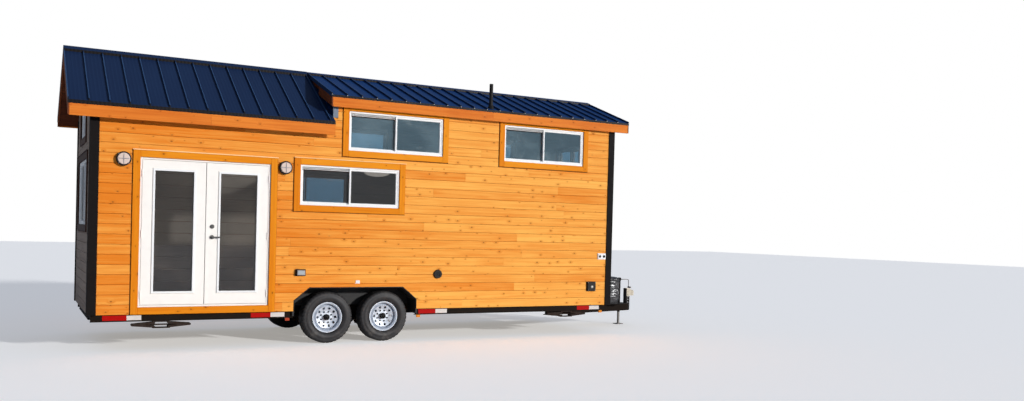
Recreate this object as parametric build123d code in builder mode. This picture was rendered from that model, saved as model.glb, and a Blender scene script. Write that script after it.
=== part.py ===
# Tiny house on a tandem-axle trailer: timber-clad body, double door, raised dormer roof.
# Millimetres. Origin on the ground under the middle of the whole length, +X towards the
# tongue, -Y towards the side with the door, +Z up. Left and right are as seen facing that side.
import math
import os

from build123d import *

os.makedirs("parts", exist_ok=True)

# Overall
wall_length = 8220.0
wall_width = 2450.0
wall_thickness = 125.0
cladding_thickness = 25.0
cladding_bottom = 491.0
ridge_height = 4165.0
rear_overhang = 300.0
front_overhang = 270.0
tongue_reach = 1450.0
seat_gap = 0.3

overall_length = rear_overhang + wall_length + tongue_reach
x_left = rear_overhang - overall_length / 2
x_right = x_left + wall_length
x_tip = x_right + tongue_reach
y_wall = wall_width / 2
y_inner = y_wall - wall_thickness
y_deck = y_wall - cladding_thickness

# Chassis and floor
rail_bottom = 395.0
rail_depth = 150.0
rail_flange = 55.0
rail_web = 8.0
main_rail_spread = 1600.0
cross_spacing = 610.0
cross_width = 50.0
outrigger_depth = 100.0
floor_thickness = 42.0
floor_bottom = rail_bottom + rail_depth
floor_top = floor_bottom + floor_thickness
y_main = main_rail_spread / 2

# Loft
loft_start = 3385.0
loft_top = 2760.0
loft_thickness = 110.0

# Roof: a steep part over the left end and a shallow dormer over the rest, on one ridge
steep_eave_height = 3256.0
steep_overhang = 161.0
dormer_eave_height = 3653.0
dormer_overhang = 96.0
steep_roof_reach = 3199.0
dormer_roof_start = 3153.0
dormer_wall_start = 3285.0
cheek_thickness = 100.0
cap_rise = 38.0
cap_thickness = 5.0
cap_width = 90.0
sheet_thickness = 6.0
seam_height = 26.0
seam_width = 12.0
seam_spacing = 244.0
dormer_panel_count = 23
seam_end_gap = 95.0
roof_deck_thickness = 90.0
board_thickness = 20.0
steep_fascia_depth = 198.0
steep_back_fascia_depth = 118.0
dormer_fascia_depth = 173.0
drip_thickness = 4.0
steep_drip_depth = 46.0
dormer_drip_depth = 34.0
ridge_beam_width = 40.0
ridge_beam_depth = 240.0
soffit_clearance = 2.0

apex = ridge_height - cap_rise
y_steep = y_wall + steep_overhang
y_dormer = y_wall + dormer_overhang
steep_slope = (apex - steep_eave_height) / y_steep
dormer_slope = (apex - dormer_eave_height) / y_dormer
steep_stretch = math.hypot(1.0, steep_slope)
dormer_stretch = math.hypot(1.0, dormer_slope)
steep_drip = steep_drip_depth / steep_stretch
dormer_drip = dormer_drip_depth / dormer_stretch
deck_below = sheet_thickness + roof_deck_thickness
x_roof_left = x_left - rear_overhang
x_roof_right = x_right + front_overhang
x_steep_end = x_left + steep_roof_reach
x_dormer_roof = x_left + dormer_roof_start
x_cheek = x_left + dormer_wall_start
y_beam = ridge_beam_width / 2

# Wheels and running gear
tyre_diameter = 762.0
tyre_width = 235.0
tread_width = 176.0
shoulder_drop = 20.0
rim_diameter = 448.0
rim_width = 190.0
rim_flange_height = 18.0
rim_flange_width = 14.0
rim_lip = 8.0
disc_thickness = 8.0
disc_out = 30.0
disc_dish = 22.0
disc_flat_width = 40.0
hub_cap_proud = 60.0
hub_cap_chamfer = 12.0
wheel_inset = 60.0
axle_spacing = 882.0
first_axle = 3220.0
hub_bore_diameter = 62.0
hub_bore_depth = 90.0
hub_cap_diameter = 86.0
vent_hole_count = 10
vent_hole_diameter = 38.0
vent_circle = 268.0
drum_diameter = 310.0
drum_depth = 60.0
axle_beam_diameter = 76.0
axle_drop = 125.0
spindle_diameter = 60.0
spring_length = 640.0
spring_width = 45.0
spring_leaf_thickness = 8.0
leaf_shares = [1.0, 0.82, 0.62, 0.42]
spring_seat_length = 70.0
spring_pad = 12.0
eye_height = 262.0
spring_bolt_diameter = 14.0
bolt_clearance = 0.3
hanger_plate = 8.0
hanger_top_length = 90.0
hanger_bottom_radius = 20.0
shackle_rise = 57.0
shackle_shift = 21.0
shackle_plate = 6.0
shackle_width = 30.0
equalizer_rise = 15.0
equalizer_boss_radius = 24.0
u_bolt_diameter = 12.0
tie_plate = 10.0
tie_plate_length = 120.0
nut_height = 12.0
nut_width = 20.0
backing_plate = 8.0
drum_clearance = 5.0
axle_bend_radius = 45.0
axle_bend_start = 872.0
axle_bend_end = 905.0
axle_height = tyre_diameter / 2
x_axles = [x_left + first_axle, x_left + first_axle + axle_spacing]
y_wheel = y_wall - wheel_inset - tyre_width / 2

# Wheel arches
arch_left = 2695.0
arch_right = 4590.0
arch_shoulder = 640.0
arch_top = 822.0
arch_chamfer = 222.0
well_plate = 5.0
well_bottom = 420.0
well_inner_gap = 35.0
well_flange = 26.0
well_flange_proud = 8.0

# Doors: a pair that swings outwards, with a closing strip on the right leaf
door_left = 592.0
door_height = 2000.0
leaf_width = 815.0
leaf_thickness = 44.0
astragal_width = 30.0
astragal_proud = 5.0
meeting_gap = 8.0
leaf_gap = 5.0
frame_face = 24.0
frame_proud = 5.0
sill_height = 25.0
leaf_proud = 3.0
glass_width = 505.0
glass_above_floor = 206.0
glass_below_head = 164.0
glass_thickness = 12.0
lite_moulding = 30.0
lite_proud = 8.0
lite_chamfer = 5.0
hinge_height = 100.0
hinge_pin_diameter = 8.0
hinge_knuckle_diameter = 16.0
hinge_pin_clearance = 0.05
hinge_plate_width = 30.0
hinge_plate_thickness = 2.5
hinge_above_floor = 170.0
hinge_below_head = 215.0
stop_width = 36.0
knuckle_gap = 0.5
lever_height = 951.0
lever_backset = 55.0
lever_length = 112.0
lever_spindle_diameter = 16.0
rose_diameter = 58.0
rose_thickness = 10.0
lock_collar_diameter = 40.0
lever_reach = 45.0
lever_thickness = 12.0
lever_bar = 20.0
lever_clearance = 0.5
deadbolt_rise = 147.0
door_right = door_left + 2 * (leaf_width + frame_face + leaf_gap) + meeting_gap + astragal_width

# Windows
window_width = 1530.0
window_height = 585.0
window_frame_face = 30.0
window_frame_depth = 80.0
window_frame_proud = 10.0
window_glass_thickness = 20.0
sash_face = 26.0
sash_depth = 32.0
meeting_stile = 50.0
track_offset = 20.0
kitchen_window = (2741.0, 2027.0)
loft_windows = [(3452.0, 2860.0), (6075.0, 2860.0)]
end_window_height = 900.0
end_window_sill = 1665.0
gable_window_width = 900.0
gable_window_height = 400.0
gable_window_sill = 2890.0

# Casings and trims
casing_width = 92.0
casing_proud = 30.0
casing_joint = 1.0
corner_trim_width = 88.0
corner_trim_proud = 26.0
door_casing_bottom = 520.0

# Tongue, jack and gas locker
tongue_depth = 125.0
tongue_width = 75.0
tongue_spread = 1200.0
tongue_wall = 8.0
tongue_tip_spread = 230.0
tongue_overlap = 900.0
tongue_end_inset = 200.0
nose_plate = 12.0
jack_plate = 10.0
jack_plate_length = 260.0
riser_width = 92.0
riser_length = 70.0
riser_wall = 8.0
riser_top = 685.0
riser_hole_diameter = 18.0
riser_hole_pitch = 50.0
riser_hole_count = 7
coupler_bolt_margin = 25.0
coupler_nose = 45.0
coupler_fillet = 18.0
coupler_latch_length = 130.0
coupler_latch_width = 24.0
coupler_latch_height = 16.0
ball_diameter = 60.0
socket_depth = 80.0
jack_from_tip = 340.0
jack_tube_diameter = 57.0
jack_tube_top = 830.0
jack_tube_bottom = 240.0
jack_leg_diameter = 48.0
jack_leg_clearance = 0.3
jack_foot_size = 150.0
jack_foot_thickness = 12.0
jack_travel = 200.0
jack_head_diameter = 74.0
jack_head_height = 60.0
crank_rod_diameter = 14.0
crank_out = 62.0
crank_reach = 150.0
crank_drop = 150.0
crank_bend_radius = 30.0
jack_headroom = 100.0
crank_grip_diameter = 30.0
crank_grip_length = 95.0
locker_start = 560.0
locker_length = 370.0
locker_width = 680.0
locker_top = 925.0
tray_thickness = 10.0
locker_corner = 100.0
locker_top_fillet = 45.0

# Fittings on the walls and roof
lamp_diameter = 188.0
lamp_proud = 66.0
lamp_back = 12.0
lens_diameter = 152.0
lens_proud = 10.0
lens_fillet = 8.0
lamp_chamfer = 6.0
lamp_places = [382.0, 2519.0]
lamp_height = 2550.0
vent_stack_x = 5828.0
vent_stack_inset = 23.0
vent_stack_diameter = 60.0
vent_stack_rise = 390.0
vent_boot_diameter = 130.0
vent_boot_height = 50.0
vent_boot_wall = 4.0
outlet_cover = (2698.0, 1003.0, 146.0, 95.0, 70.0)
blank_plate = (3606.0, 885.0, 76.0, 56.0, 20.0)
power_inlet = (7744.0, 732.0, 180.0, 165.0, 50.0)
cable_plate = (7956.0, 1277.0, 170.0, 106.0, 32.0)
side_vent_x = 4947.0
side_vent_height = 1027.0
side_vent_diameter = 147.0
side_vent_proud = 40.0
fitting_step = 6.0
fitting_taper = 12.0
vent_slot_pitch = 20.0
vent_slot_count = 3
port_diameter = 44.0
marker_places = [2610.0, 4655.0, 8075.0]
marker_width = 60.0
marker_depth = 25.0
marker_height = 40.0
scissor_places = [900.0, 7370.0]
scissor_length = 760.0
scissor_plate = 220.0
scissor_height = 95.0
scissor_width = 90.0
scissor_bracket = 12.0
scissor_arm_width = 30.0
scissor_arm_thickness = 5.0
scissor_pin_diameter = 16.0
scissor_screw_diameter = 20.0
scissor_trunnion_diameter = 32.0


def across(x):
    """Plane across the house at x: its own x is +Y and its own y is +Z."""
    return Plane.YZ.offset(x)


def along(y):
    """Plane along the house at y: its own x is +X and its own y is +Z."""
    return Plane(origin=(0, y, 0), x_dir=(1, 0, 0), z_dir=(0, -1, 0))


def steep(y, below=0.0):
    """Height of the steep roof at y, or of a layer that lies below its surface."""
    return apex - abs(y) * steep_slope - below * steep_stretch


def dormer(y, below=0.0):
    """Height of the dormer roof at y, or of a layer that lies below its surface."""
    return apex - abs(y) * dormer_slope - below * dormer_stretch


def channel(side, y_web, depth=rail_depth, bottom=rail_bottom):
    """Outline of a channel rail whose web is at y_web and whose flanges point to -side."""
    y_back = y_web - side * rail_flange
    y_thin = y_web - side * rail_web
    top = bottom + depth
    return [
        (y_web, bottom),
        (y_web, top),
        (y_back, top),
        (y_back, top - rail_web),
        (y_thin, top - rail_web),
        (y_thin, bottom + rail_web),
        (y_back, bottom + rail_web),
        (y_back, bottom),
    ]


x_rail_left = x_left + cladding_thickness
x_rail_right = x_right - cladding_thickness
x_arch_left = x_left + arch_left
x_arch_right = x_left + arch_right

# Chassis: two main rails, and side rails broken at the wheel arches
with BuildPart() as chassis_rails:
    for side in (-1, 1):
        with BuildSketch(across(x_rail_left)):
            with BuildLine():
                Polyline(channel(-side, side * y_main), close=True)
            make_face()
        extrude(amount=x_rail_right - x_rail_left)
        with BuildSketch(across(x_rail_left)):
            with BuildLine():
                Polyline(channel(side, side * y_deck), close=True)
            make_face()
        extrude(amount=x_arch_left - well_plate - x_rail_left)
        with BuildSketch(across(x_arch_right + well_plate)):
            with BuildLine():
                Polyline(channel(side, side * y_deck), close=True)
            make_face()
        extrude(amount=x_rail_right - x_arch_right - well_plate)
chassis_rails.part.label = "chassis_rails"
export_step(chassis_rails.part, "parts/chassis_rails.step")

# Cross members between the main rails, and outriggers from these to the side rails
cross_count = int((x_rail_right - x_rail_left - cross_width) // cross_spacing) + 1
cross_pitch = (x_rail_right - x_rail_left - cross_width) / (cross_count - 1)
x_crosses = [x_rail_left + cross_width / 2 + i * cross_pitch for i in range(cross_count)]
with BuildPart() as cross_members:
    for x in x_crosses:
        with BuildSketch(Plane.XY.offset(rail_bottom)):
            with Locations((x, 0)):
                Rectangle(cross_width, 2 * y_main)
        extrude(amount=rail_depth)
        if not x_arch_left - cross_width < x < x_arch_right + cross_width:
            with BuildSketch(Plane.XY.offset(floor_bottom - rail_web - outrigger_depth)):
                for side in (-1, 1):
                    with Locations((x, side * (y_main + y_deck) / 2)):
                        Rectangle(cross_width, y_deck - y_main - 2 * rail_web)
            extrude(amount=outrigger_depth)
cross_members.part.label = "cross_members"
export_step(cross_members.part, "parts/cross_members.step")

# Floor deck, cut out round the wheel wells
y_well = y_wheel - tyre_width / 2 - well_inner_gap
with BuildPart() as floor:
    with BuildSketch(Plane.XY.offset(floor_bottom)):
        with Locations(((x_rail_left + x_rail_right) / 2, 0)):
            Rectangle(x_rail_right - x_rail_left, 2 * y_deck)
        for side in (-1, 1):
            with Locations(((x_arch_left + x_arch_right) / 2, side * (y_well + y_deck) / 2)):
                Rectangle(x_arch_right - x_arch_left + 2 * well_plate, y_deck - y_well, mode=Mode.SUBTRACT)
    extrude(amount=floor_thickness)
floor.part.label = "floor"
export_step(floor.part, "parts/floor.step")

with BuildPart() as loft_floor:
    with BuildSketch(Plane.XY.offset(loft_top - loft_thickness)):
        with Locations(((x_left + loft_start + x_right - wall_thickness) / 2, 0)):
            Rectangle(x_right - wall_thickness - x_left - loft_start, 2 * y_inner)
    extrude(amount=loft_thickness)
loft_floor.part.label = "loft_floor"
export_step(loft_floor.part, "parts/loft_floor.step")


def arch_outline(grow, bottom):
    """Outline of the wheel arch, moved out by grow, on a plane along the house."""
    slant = grow * math.tan(math.atan2(arch_top - arch_shoulder, arch_chamfer) / 2)
    return [
        (x_arch_left - grow, bottom),
        (x_arch_left - grow, arch_shoulder + grow - slant),
        (x_arch_left + arch_chamfer - slant, arch_top + grow),
        (x_arch_right - arch_chamfer + slant, arch_top + grow),
        (x_arch_right + grow, arch_shoulder + grow - slant),
        (x_arch_right + grow, bottom),
    ]


# Wheel wells: folded steel boxes with a flange on the wall's face
with BuildPart() as wheel_wells:
    for side in (-1, 1):
        with BuildSketch(along(side * y_well)):
            with BuildLine():
                Polyline(arch_outline(well_plate, well_bottom), close=True)
            make_face()
        extrude(amount=-side * (y_wall - y_well))
        with BuildSketch(along(side * y_wall)):
            with BuildLine():
                Polyline(arch_outline(well_flange, well_bottom), close=True)
            make_face()
        extrude(amount=-side * well_flange_proud)
        with BuildSketch(along(side * (y_well + well_plate))):
            with BuildLine():
                Polyline(arch_outline(0, well_bottom), close=True)
            make_face()
        extrude(amount=-side * (y_wall + well_flange_proud - y_well), mode=Mode.SUBTRACT)
        with BuildSketch(along(side * (y_well - well_plate))):
            with Locations(((x_arch_left + x_arch_right) / 2, well_bottom)):
                Rectangle(x_arch_right - x_arch_left + 4 * well_plate, 2 * (floor_bottom - well_bottom))
        extrude(amount=-side * 3 * well_plate, mode=Mode.SUBTRACT)
wheel_wells.part.label = "wheel_wells"
export_step(wheel_wells.part, "parts/wheel_wells.step")

well_top = arch_top + well_plate


def wall_outline(side, roof, bottom=None):
    """Section of a side wall from the floor, or from bottom, up to the underside of a roof."""
    top_out = roof(y_wall, deck_below)
    top_in = roof(y_inner, deck_below)
    if bottom is not None:
        return [
            (side * y_wall, bottom),
            (side * y_wall, top_out),
            (side * y_inner, top_in),
            (side * y_inner, bottom),
        ]
    return [
        (side * y_wall, cladding_bottom),
        (side * y_wall, top_out),
        (side * y_inner, top_in),
        (side * y_inner, floor_top),
        (side * y_deck, floor_top),
        (side * y_deck, cladding_bottom),
    ]


def lower_outline(side):
    """Section of a side wall beside the wheel arch, up to the arch's top."""
    return [
        (side * y_wall, cladding_bottom),
        (side * y_wall, well_top),
        (side * y_inner, well_top),
        (side * y_inner, floor_top),
        (side * y_deck, floor_top),
        (side * y_deck, cladding_bottom),
    ]


def wall_run(outline, x_from, x_to, mode=Mode.ADD):
    """Extrude a section from one x to another in the part that is being built."""
    with BuildSketch(across(x_from)) as section:
        with BuildLine():
            Polyline(outline, close=True)
        make_face()
    extrude(section.sketch, amount=x_to - x_from, mode=mode)


def cut_windows(side, places, width=window_width, height=window_height):
    """Cut window openings, given by their left bottom corners, through a side wall."""
    with BuildSketch(along(side * (y_inner - wall_thickness))) as openings:
        for left, sill in places:
            with Locations((x_left + left + width / 2, sill + height / 2)):
                Rectangle(width, height)
    extrude(openings.sketch, amount=-side * 3 * wall_thickness, mode=Mode.SUBTRACT)


x_door_left = x_left + door_left
x_door_right = x_left + door_right
door_top = floor_top + door_height

# Front wall, split beside and over the door and at the top of the wheel arch
with BuildPart() as front_wall_left:
    wall_run(wall_outline(-1, steep), x_left, x_door_left)
front_wall_left.part.label = "front_wall_left"
export_step(front_wall_left.part, "parts/front_wall_left.step")

with BuildPart() as front_wall_over_door:
    wall_run(wall_outline(-1, steep, door_top), x_door_left, x_door_right)
front_wall_over_door.part.label = "front_wall_over_door"
export_step(front_wall_over_door.part, "parts/front_wall_over_door.step")

with BuildPart() as front_wall_under_door:
    with BuildSketch(Plane.XY.offset(cladding_bottom)):
        with Locations(((x_door_left + x_door_right) / 2, -(y_wall + y_deck) / 2)):
            Rectangle(x_door_right - x_door_left, cladding_thickness)
    extrude(amount=floor_top - cladding_bottom)
front_wall_under_door.part.label = "front_wall_under_door"
export_step(front_wall_under_door.part, "parts/front_wall_under_door.step")

with BuildPart() as front_wall_right:
    wall_run(wall_outline(-1, steep, well_top), x_door_right, x_cheek)
    wall_run(wall_outline(-1, dormer, well_top), x_cheek, x_right)
    cut_windows(-1, [kitchen_window] + loft_windows)
front_wall_right.part.label = "front_wall_right"
export_step(front_wall_right.part, "parts/front_wall_right.step")

with BuildPart() as back_wall:
    wall_run(wall_outline(1, steep, well_top), x_left, x_cheek)
    wall_run(wall_outline(1, dormer, well_top), x_cheek, x_right)
    cut_windows(1, [kitchen_window] + loft_windows)
back_wall.part.label = "back_wall"
export_step(back_wall.part, "parts/back_wall.step")

with BuildPart() as lower_walls:
    wall_run(lower_outline(-1), x_door_right, x_arch_left - well_plate)
    wall_run(lower_outline(-1), x_arch_right + well_plate, x_right)
    wall_run(lower_outline(1), x_left, x_arch_left - well_plate)
    wall_run(lower_outline(1), x_arch_right + well_plate, x_right)
lower_walls.part.label = "lower_walls"
export_step(lower_walls.part, "parts/lower_walls.step")


def arch_corner(x_side, direction):
    """Corner piece of wall between the arch's slanted shoulder and its top, as an outline."""
    slant = well_plate * math.tan(math.atan2(arch_top - arch_shoulder, arch_chamfer) / 2)
    return [
        (x_side, arch_shoulder + well_plate - slant),
        (x_side, well_top),
        (x_side + direction * (arch_chamfer + well_plate - slant), well_top),
    ]


# Filler wall over the slanted shoulders of the wheel arches
with BuildPart() as arch_corners:
    for side in (-1, 1):
        for x_side, direction in ((x_arch_left - well_plate, 1), (x_arch_right + well_plate, -1)):
            with BuildSketch(along(side * y_inner)):
                with BuildLine():
                    Polyline(arch_corner(x_side, direction), close=True)
                make_face()
            extrude(amount=-side * wall_thickness)
arch_corners.part.label = "arch_corners"
export_step(arch_corners.part, "parts/arch_corners.step")


def gable_outline(roof):
    """Inner section of the house under a roof, notched for the ridge beam."""
    beam_bottom = apex - ridge_beam_depth
    return [
        (-y_inner, floor_top),
        (-y_inner, roof(y_inner, deck_below)),
        (-y_beam, roof(y_beam, deck_below)),
        (-y_beam, beam_bottom),
        (y_beam, beam_bottom),
        (y_beam, roof(y_beam, deck_below)),
        (y_inner, roof(y_inner, deck_below)),
        (y_inner, floor_top),
    ]


def end_wall(x_from, roof, x_skin):
    """Build an end wall with its hanging skin and two window openings."""
    wall_run(gable_outline(roof), x_from, x_from + wall_thickness)
    with BuildSketch(Plane.XY.offset(cladding_bottom)) as skin:
        with Locations((x_skin + cladding_thickness / 2, 0)):
            Rectangle(cladding_thickness, 2 * y_deck)
    extrude(skin.sketch, amount=floor_top - cladding_bottom)
    with BuildSketch(across(x_from - wall_thickness)) as openings:
        with Locations((0, end_window_sill + end_window_height / 2)):
            Rectangle(window_width, end_window_height)
        with Locations((0, gable_window_sill + gable_window_height / 2)):
            Rectangle(gable_window_width, gable_window_height)
    extrude(openings.sketch, amount=3 * wall_thickness, mode=Mode.SUBTRACT)


with BuildPart() as left_end_wall:
    end_wall(x_left, steep, x_left)
left_end_wall.part.label = "left_end_wall"
export_step(left_end_wall.part, "parts/left_end_wall.step")

with BuildPart() as right_end_wall:
    end_wall(x_right - wall_thickness, dormer, x_right - cladding_thickness)
right_end_wall.part.label = "right_end_wall"
export_step(right_end_wall.part, "parts/right_end_wall.step")

# Upright walls between the steep roof and the dormer roof
with BuildPart() as dormer_cheeks:
    for side in (-1, 1):
        outline = [
            (side * y_inner, steep(y_inner, deck_below)),
            (side * y_inner, dormer(y_inner, deck_below)),
            (side * y_beam, dormer(y_beam, deck_below)),
            (side * y_beam, steep(y_beam, deck_below)),
        ]
        wall_run(outline, x_cheek, x_cheek + cheek_thickness)
dormer_cheeks.part.label = "dormer_cheeks"
export_step(dormer_cheeks.part, "parts/dormer_cheeks.step")

with BuildPart() as ridge_beam:
    with BuildSketch(across(x_roof_left + drip_thickness + board_thickness)):
        with Locations((0, apex - ridge_beam_depth)):
            Rectangle(
                ridge_beam_width,
                ridge_beam_depth - y_beam * steep_slope - sheet_thickness * steep_stretch,
                align=(Align.CENTER, Align.MIN),
            )
    extrude(amount=x_roof_right - x_roof_left - 2 * (drip_thickness + board_thickness))
ridge_beam.part.label = "ridge_beam"
export_step(ridge_beam.part, "parts/ridge_beam.step")


def layer(side, roof, y_from, y_to, above, below):
    """Section of a roof layer between two depths under the roof's surface."""
    return [
        (side * y_from, roof(y_from, above)),
        (side * y_to, roof(y_to, above)),
        (side * y_to, roof(y_to, below)),
        (side * y_from, roof(y_from, below)),
    ]


def overhang_layer(side, y_to, above, below):
    """Section of a dormer roof layer that stands over the steep roof without touching it."""
    floor_line = steep(0) + soffit_clearance
    y_meet = (floor_line - dormer(0, below)) / (steep_slope - dormer_slope)
    outline = [
        (side * y_cap, dormer(y_cap, above)),
        (side * y_to, dormer(y_to, above)),
        (side * y_to, dormer(y_to, below)),
    ]
    if y_meet > y_cap:
        outline.append((side * y_meet, dormer(y_meet, below)))
        outline.append((side * y_cap, steep(y_cap) + soffit_clearance))
    else:
        outline.append((side * y_cap, dormer(y_cap, below)))
    return outline


y_cap = cap_width * 2 / 3
y_steep_fascia = y_steep - drip_thickness
y_dormer_fascia = y_dormer - drip_thickness
y_steep_deck = y_steep_fascia - board_thickness
y_dormer_deck = y_dormer_fascia - board_thickness
x_rake_left = x_roof_left + drip_thickness
x_rake_dormer = x_dormer_roof + drip_thickness
x_rake_right = x_roof_right - drip_thickness

# Roof decks: boards and insulation under the metal, open at the eaves to the fascias
with BuildPart() as roof_deck:
    for side in (-1, 1):
        wall_run(layer(side, steep, y_beam, y_steep_deck, sheet_thickness, deck_below),
                 x_rake_left + board_thickness, x_steep_end - board_thickness)
        wall_run(layer(side, steep, y_beam, y_wall, sheet_thickness, deck_below),
                 x_steep_end - board_thickness, x_cheek)
        wall_run(layer(side, dormer, y_beam, y_dormer_deck, sheet_thickness, deck_below),
                 x_cheek, x_rake_right - board_thickness)
        wall_run(overhang_layer(side, y_dormer_deck, sheet_thickness, deck_below),
                 x_rake_dormer + board_thickness, x_cheek)
roof_deck.part.label = "roof_deck"
export_step(roof_deck.part, "parts/roof_deck.step")

steep_seams = int((x_dormer_roof - x_roof_left - seam_width) // seam_spacing) + 1
dormer_panel = (x_roof_right - x_dormer_roof - seam_width) / dormer_panel_count


def eave_drip(side, roof, y_outer, depth):
    """Section of the metal that turns down over the top of an eave fascia."""
    y_back = y_outer - drip_thickness
    bottom = roof(y_outer) - depth
    return [
        (side * y_outer, bottom),
        (side * y_outer, roof(y_outer)),
        (side * y_back, roof(y_back)),
        (side * y_back, bottom),
    ]


# Metal roofing with standing seams, turned down at the eaves and rakes
with BuildPart() as roof_sheets:
    for side in (-1, 1):
        wall_run(eave_drip(side, steep, y_steep, steep_drip_depth), x_roof_left, x_steep_end)
        wall_run(eave_drip(side, dormer, y_dormer, dormer_drip_depth), x_dormer_roof, x_roof_right)
        wall_run(layer(side, steep, 0, y_steep, 0, steep_drip), x_roof_left, x_rake_left)
        wall_run(layer(side, dormer, 0, y_dormer, 0, dormer_drip), x_rake_right, x_roof_right)
        wall_run(overhang_layer(side, y_dormer, 0, dormer_drip), x_dormer_roof, x_rake_dormer)
        wall_run(layer(side, steep, 0, y_steep, 0, sheet_thickness), x_roof_left, x_steep_end)
        wall_run(layer(side, steep, 0, y_wall, 0, sheet_thickness), x_steep_end, x_cheek)
        for i in range(steep_seams):
            x = x_roof_left + i * seam_spacing
            seam = layer(side, steep, seam_end_gap, y_steep, -seam_height, sheet_thickness)
            wall_run(seam, x, x + seam_width)
        wall_run(layer(side, dormer, 0, y_dormer, 0, sheet_thickness), x_cheek, x_roof_right)
        wall_run(overhang_layer(side, y_dormer, 0, sheet_thickness), x_dormer_roof, x_cheek)
        for i in range(dormer_panel_count + 1):
            x = x_dormer_roof + i * dormer_panel
            seam = layer(side, dormer, seam_end_gap, y_dormer, -seam_height, sheet_thickness / 2)
            wall_run(seam, x, x + seam_width)
roof_sheets.part.label = "roof_sheets"
export_step(roof_sheets.part, "parts/roof_sheets.step")

cap_top = -seam_height - cap_thickness
y_cap_lip = cap_width - cap_thickness
with BuildPart() as ridge_cap:
    for side in (-1, 1):
        wall_run(layer(side, steep, 0, cap_width, cap_top, -seam_height), x_roof_left, x_dormer_roof)
        wall_run(layer(side, steep, y_cap_lip, cap_width, -seam_height, 0), x_roof_left, x_dormer_roof)
        wall_run(layer(side, dormer, 0, cap_width, cap_top, -seam_height), x_dormer_roof, x_roof_right)
        wall_run(layer(side, dormer, y_cap_lip, cap_width, -seam_height, 0), x_dormer_roof, x_roof_right)
ridge_cap.part.label = "ridge_cap"
export_step(ridge_cap.part, "parts/ridge_cap.step")


def fascia_outline(side, roof, y_outer, depth):
    """Section of an eave fascia, from the metal's underside down."""
    y_back = y_outer - board_thickness
    bottom = roof(y_outer + drip_thickness) - depth
    return [
        (side * y_outer, bottom),
        (side * y_outer, roof(y_outer, sheet_thickness)),
        (side * y_back, roof(y_back, sheet_thickness)),
        (side * y_back, bottom),
    ]


# The steep roof's fascia is deeper on the side with the door
steep_depths = {-1: steep_fascia_depth, 1: steep_back_fascia_depth}
with BuildPart() as eave_fascias:
    for side in (-1, 1):
        wall_run(fascia_outline(side, steep, y_steep_fascia, steep_depths[side]),
                 x_rake_left + board_thickness, x_steep_end)
        wall_run(fascia_outline(side, dormer, y_dormer_fascia, dormer_fascia_depth),
                 x_rake_dormer + board_thickness, x_rake_right - board_thickness)
eave_fascias.part.label = "eave_fascias"
export_step(eave_fascias.part, "parts/eave_fascias.step")


def rake_outline(side, roof, y_outer, depth):
    """Face of a rake board that follows the roof's slope from the eave to the ridge."""
    ridge_depth = depth - sheet_thickness
    return [
        (side * casing_joint / 2, roof(casing_joint / 2, sheet_thickness)),
        (side * y_outer, roof(y_outer, sheet_thickness)),
        (side * y_outer, roof(y_outer + drip_thickness) - depth),
        (side * casing_joint / 2, roof(casing_joint / 2, sheet_thickness) - ridge_depth),
    ]


with BuildPart() as rake_boards:
    for side in (-1, 1):
        wall_run(rake_outline(side, steep, y_steep_fascia, steep_depths[side]),
                 x_rake_left, x_rake_left + board_thickness)
        wall_run(rake_outline(side, dormer, y_dormer_fascia, dormer_fascia_depth),
                 x_rake_right - board_thickness, x_rake_right)
        depth_below = dormer_fascia_depth / dormer_stretch
        wall_run(overhang_layer(side, y_dormer_fascia, sheet_thickness, depth_below),
                 x_rake_dormer, x_rake_dormer + board_thickness)
rake_boards.part.label = "rake_boards"
export_step(rake_boards.part, "parts/rake_boards.step")

# Black corner trims, each an angle round the corner of the house
with BuildPart() as corner_trims:
    for x_corner, x_side, roof in ((x_left, 1, steep), (x_right, -1, dormer)):
        for side in (-1, 1):
            trim_top = roof(y_wall + corner_trim_proud, deck_below) - seat_gap
            with BuildSketch(Plane.XY.offset(cladding_bottom)):
                with BuildLine():
                    x_out = x_corner - x_side * corner_trim_proud
                    x_in = x_corner + x_side * corner_trim_width
                    y_out = side * (y_wall + corner_trim_proud)
                    y_in = side * (y_wall - corner_trim_width)
                    Polyline(
                        (x_out, y_out),
                        (x_in, y_out),
                        (x_in, side * y_wall),
                        (x_corner, side * y_wall),
                        (x_corner, y_in),
                        (x_out, y_in),
                        close=True,
                    )
                make_face()
            extrude(amount=trim_top - cladding_bottom)
corner_trims.part.label = "corner_trims"
export_step(corner_trims.part, "parts/corner_trims.step")


def wall_plane(side, proud=0.0):
    """Plane on a side wall's outer face, moved out by proud, facing outwards."""
    return Plane(origin=(0, side * (y_wall + proud), 0), x_dir=(-side, 0, 0), z_dir=(0, side, 0))


def end_plane(side, proud=0.0):
    """Plane on an end wall's outer face, moved out by proud, facing outwards."""
    x = x_left - proud if side < 0 else x_right + proud
    return Plane(origin=(x, 0, 0), x_dir=(0, side, 0), z_dir=(side, 0, 0))


# Each window: maker of its plane, side, centre across the wall, sill, width and height
windows = []
for left, sill in [kitchen_window] + loft_windows:
    x_mid = x_left + left + window_width / 2
    windows.append((wall_plane, -1, x_mid, sill, window_width, window_height))
    windows.append((wall_plane, 1, -x_mid, sill, window_width, window_height))
for side in (-1, 1):
    windows.append((end_plane, side, 0, end_window_sill, window_width, end_window_height))
    windows.append((end_plane, side, 0, gable_window_sill, gable_window_width, gable_window_height))


def sash_places(mid, width):
    """Middle and width of the set-back left sash and of the right sash in front of it."""
    inside = width - 2 * window_frame_face
    wide = (inside + meeting_stile) / 2
    return [(mid - (inside - wide) / 2, wide, track_offset), (mid + (inside - wide) / 2, wide, -track_offset)]


glass_middle_proud = window_frame_proud - window_frame_depth / 2

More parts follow.
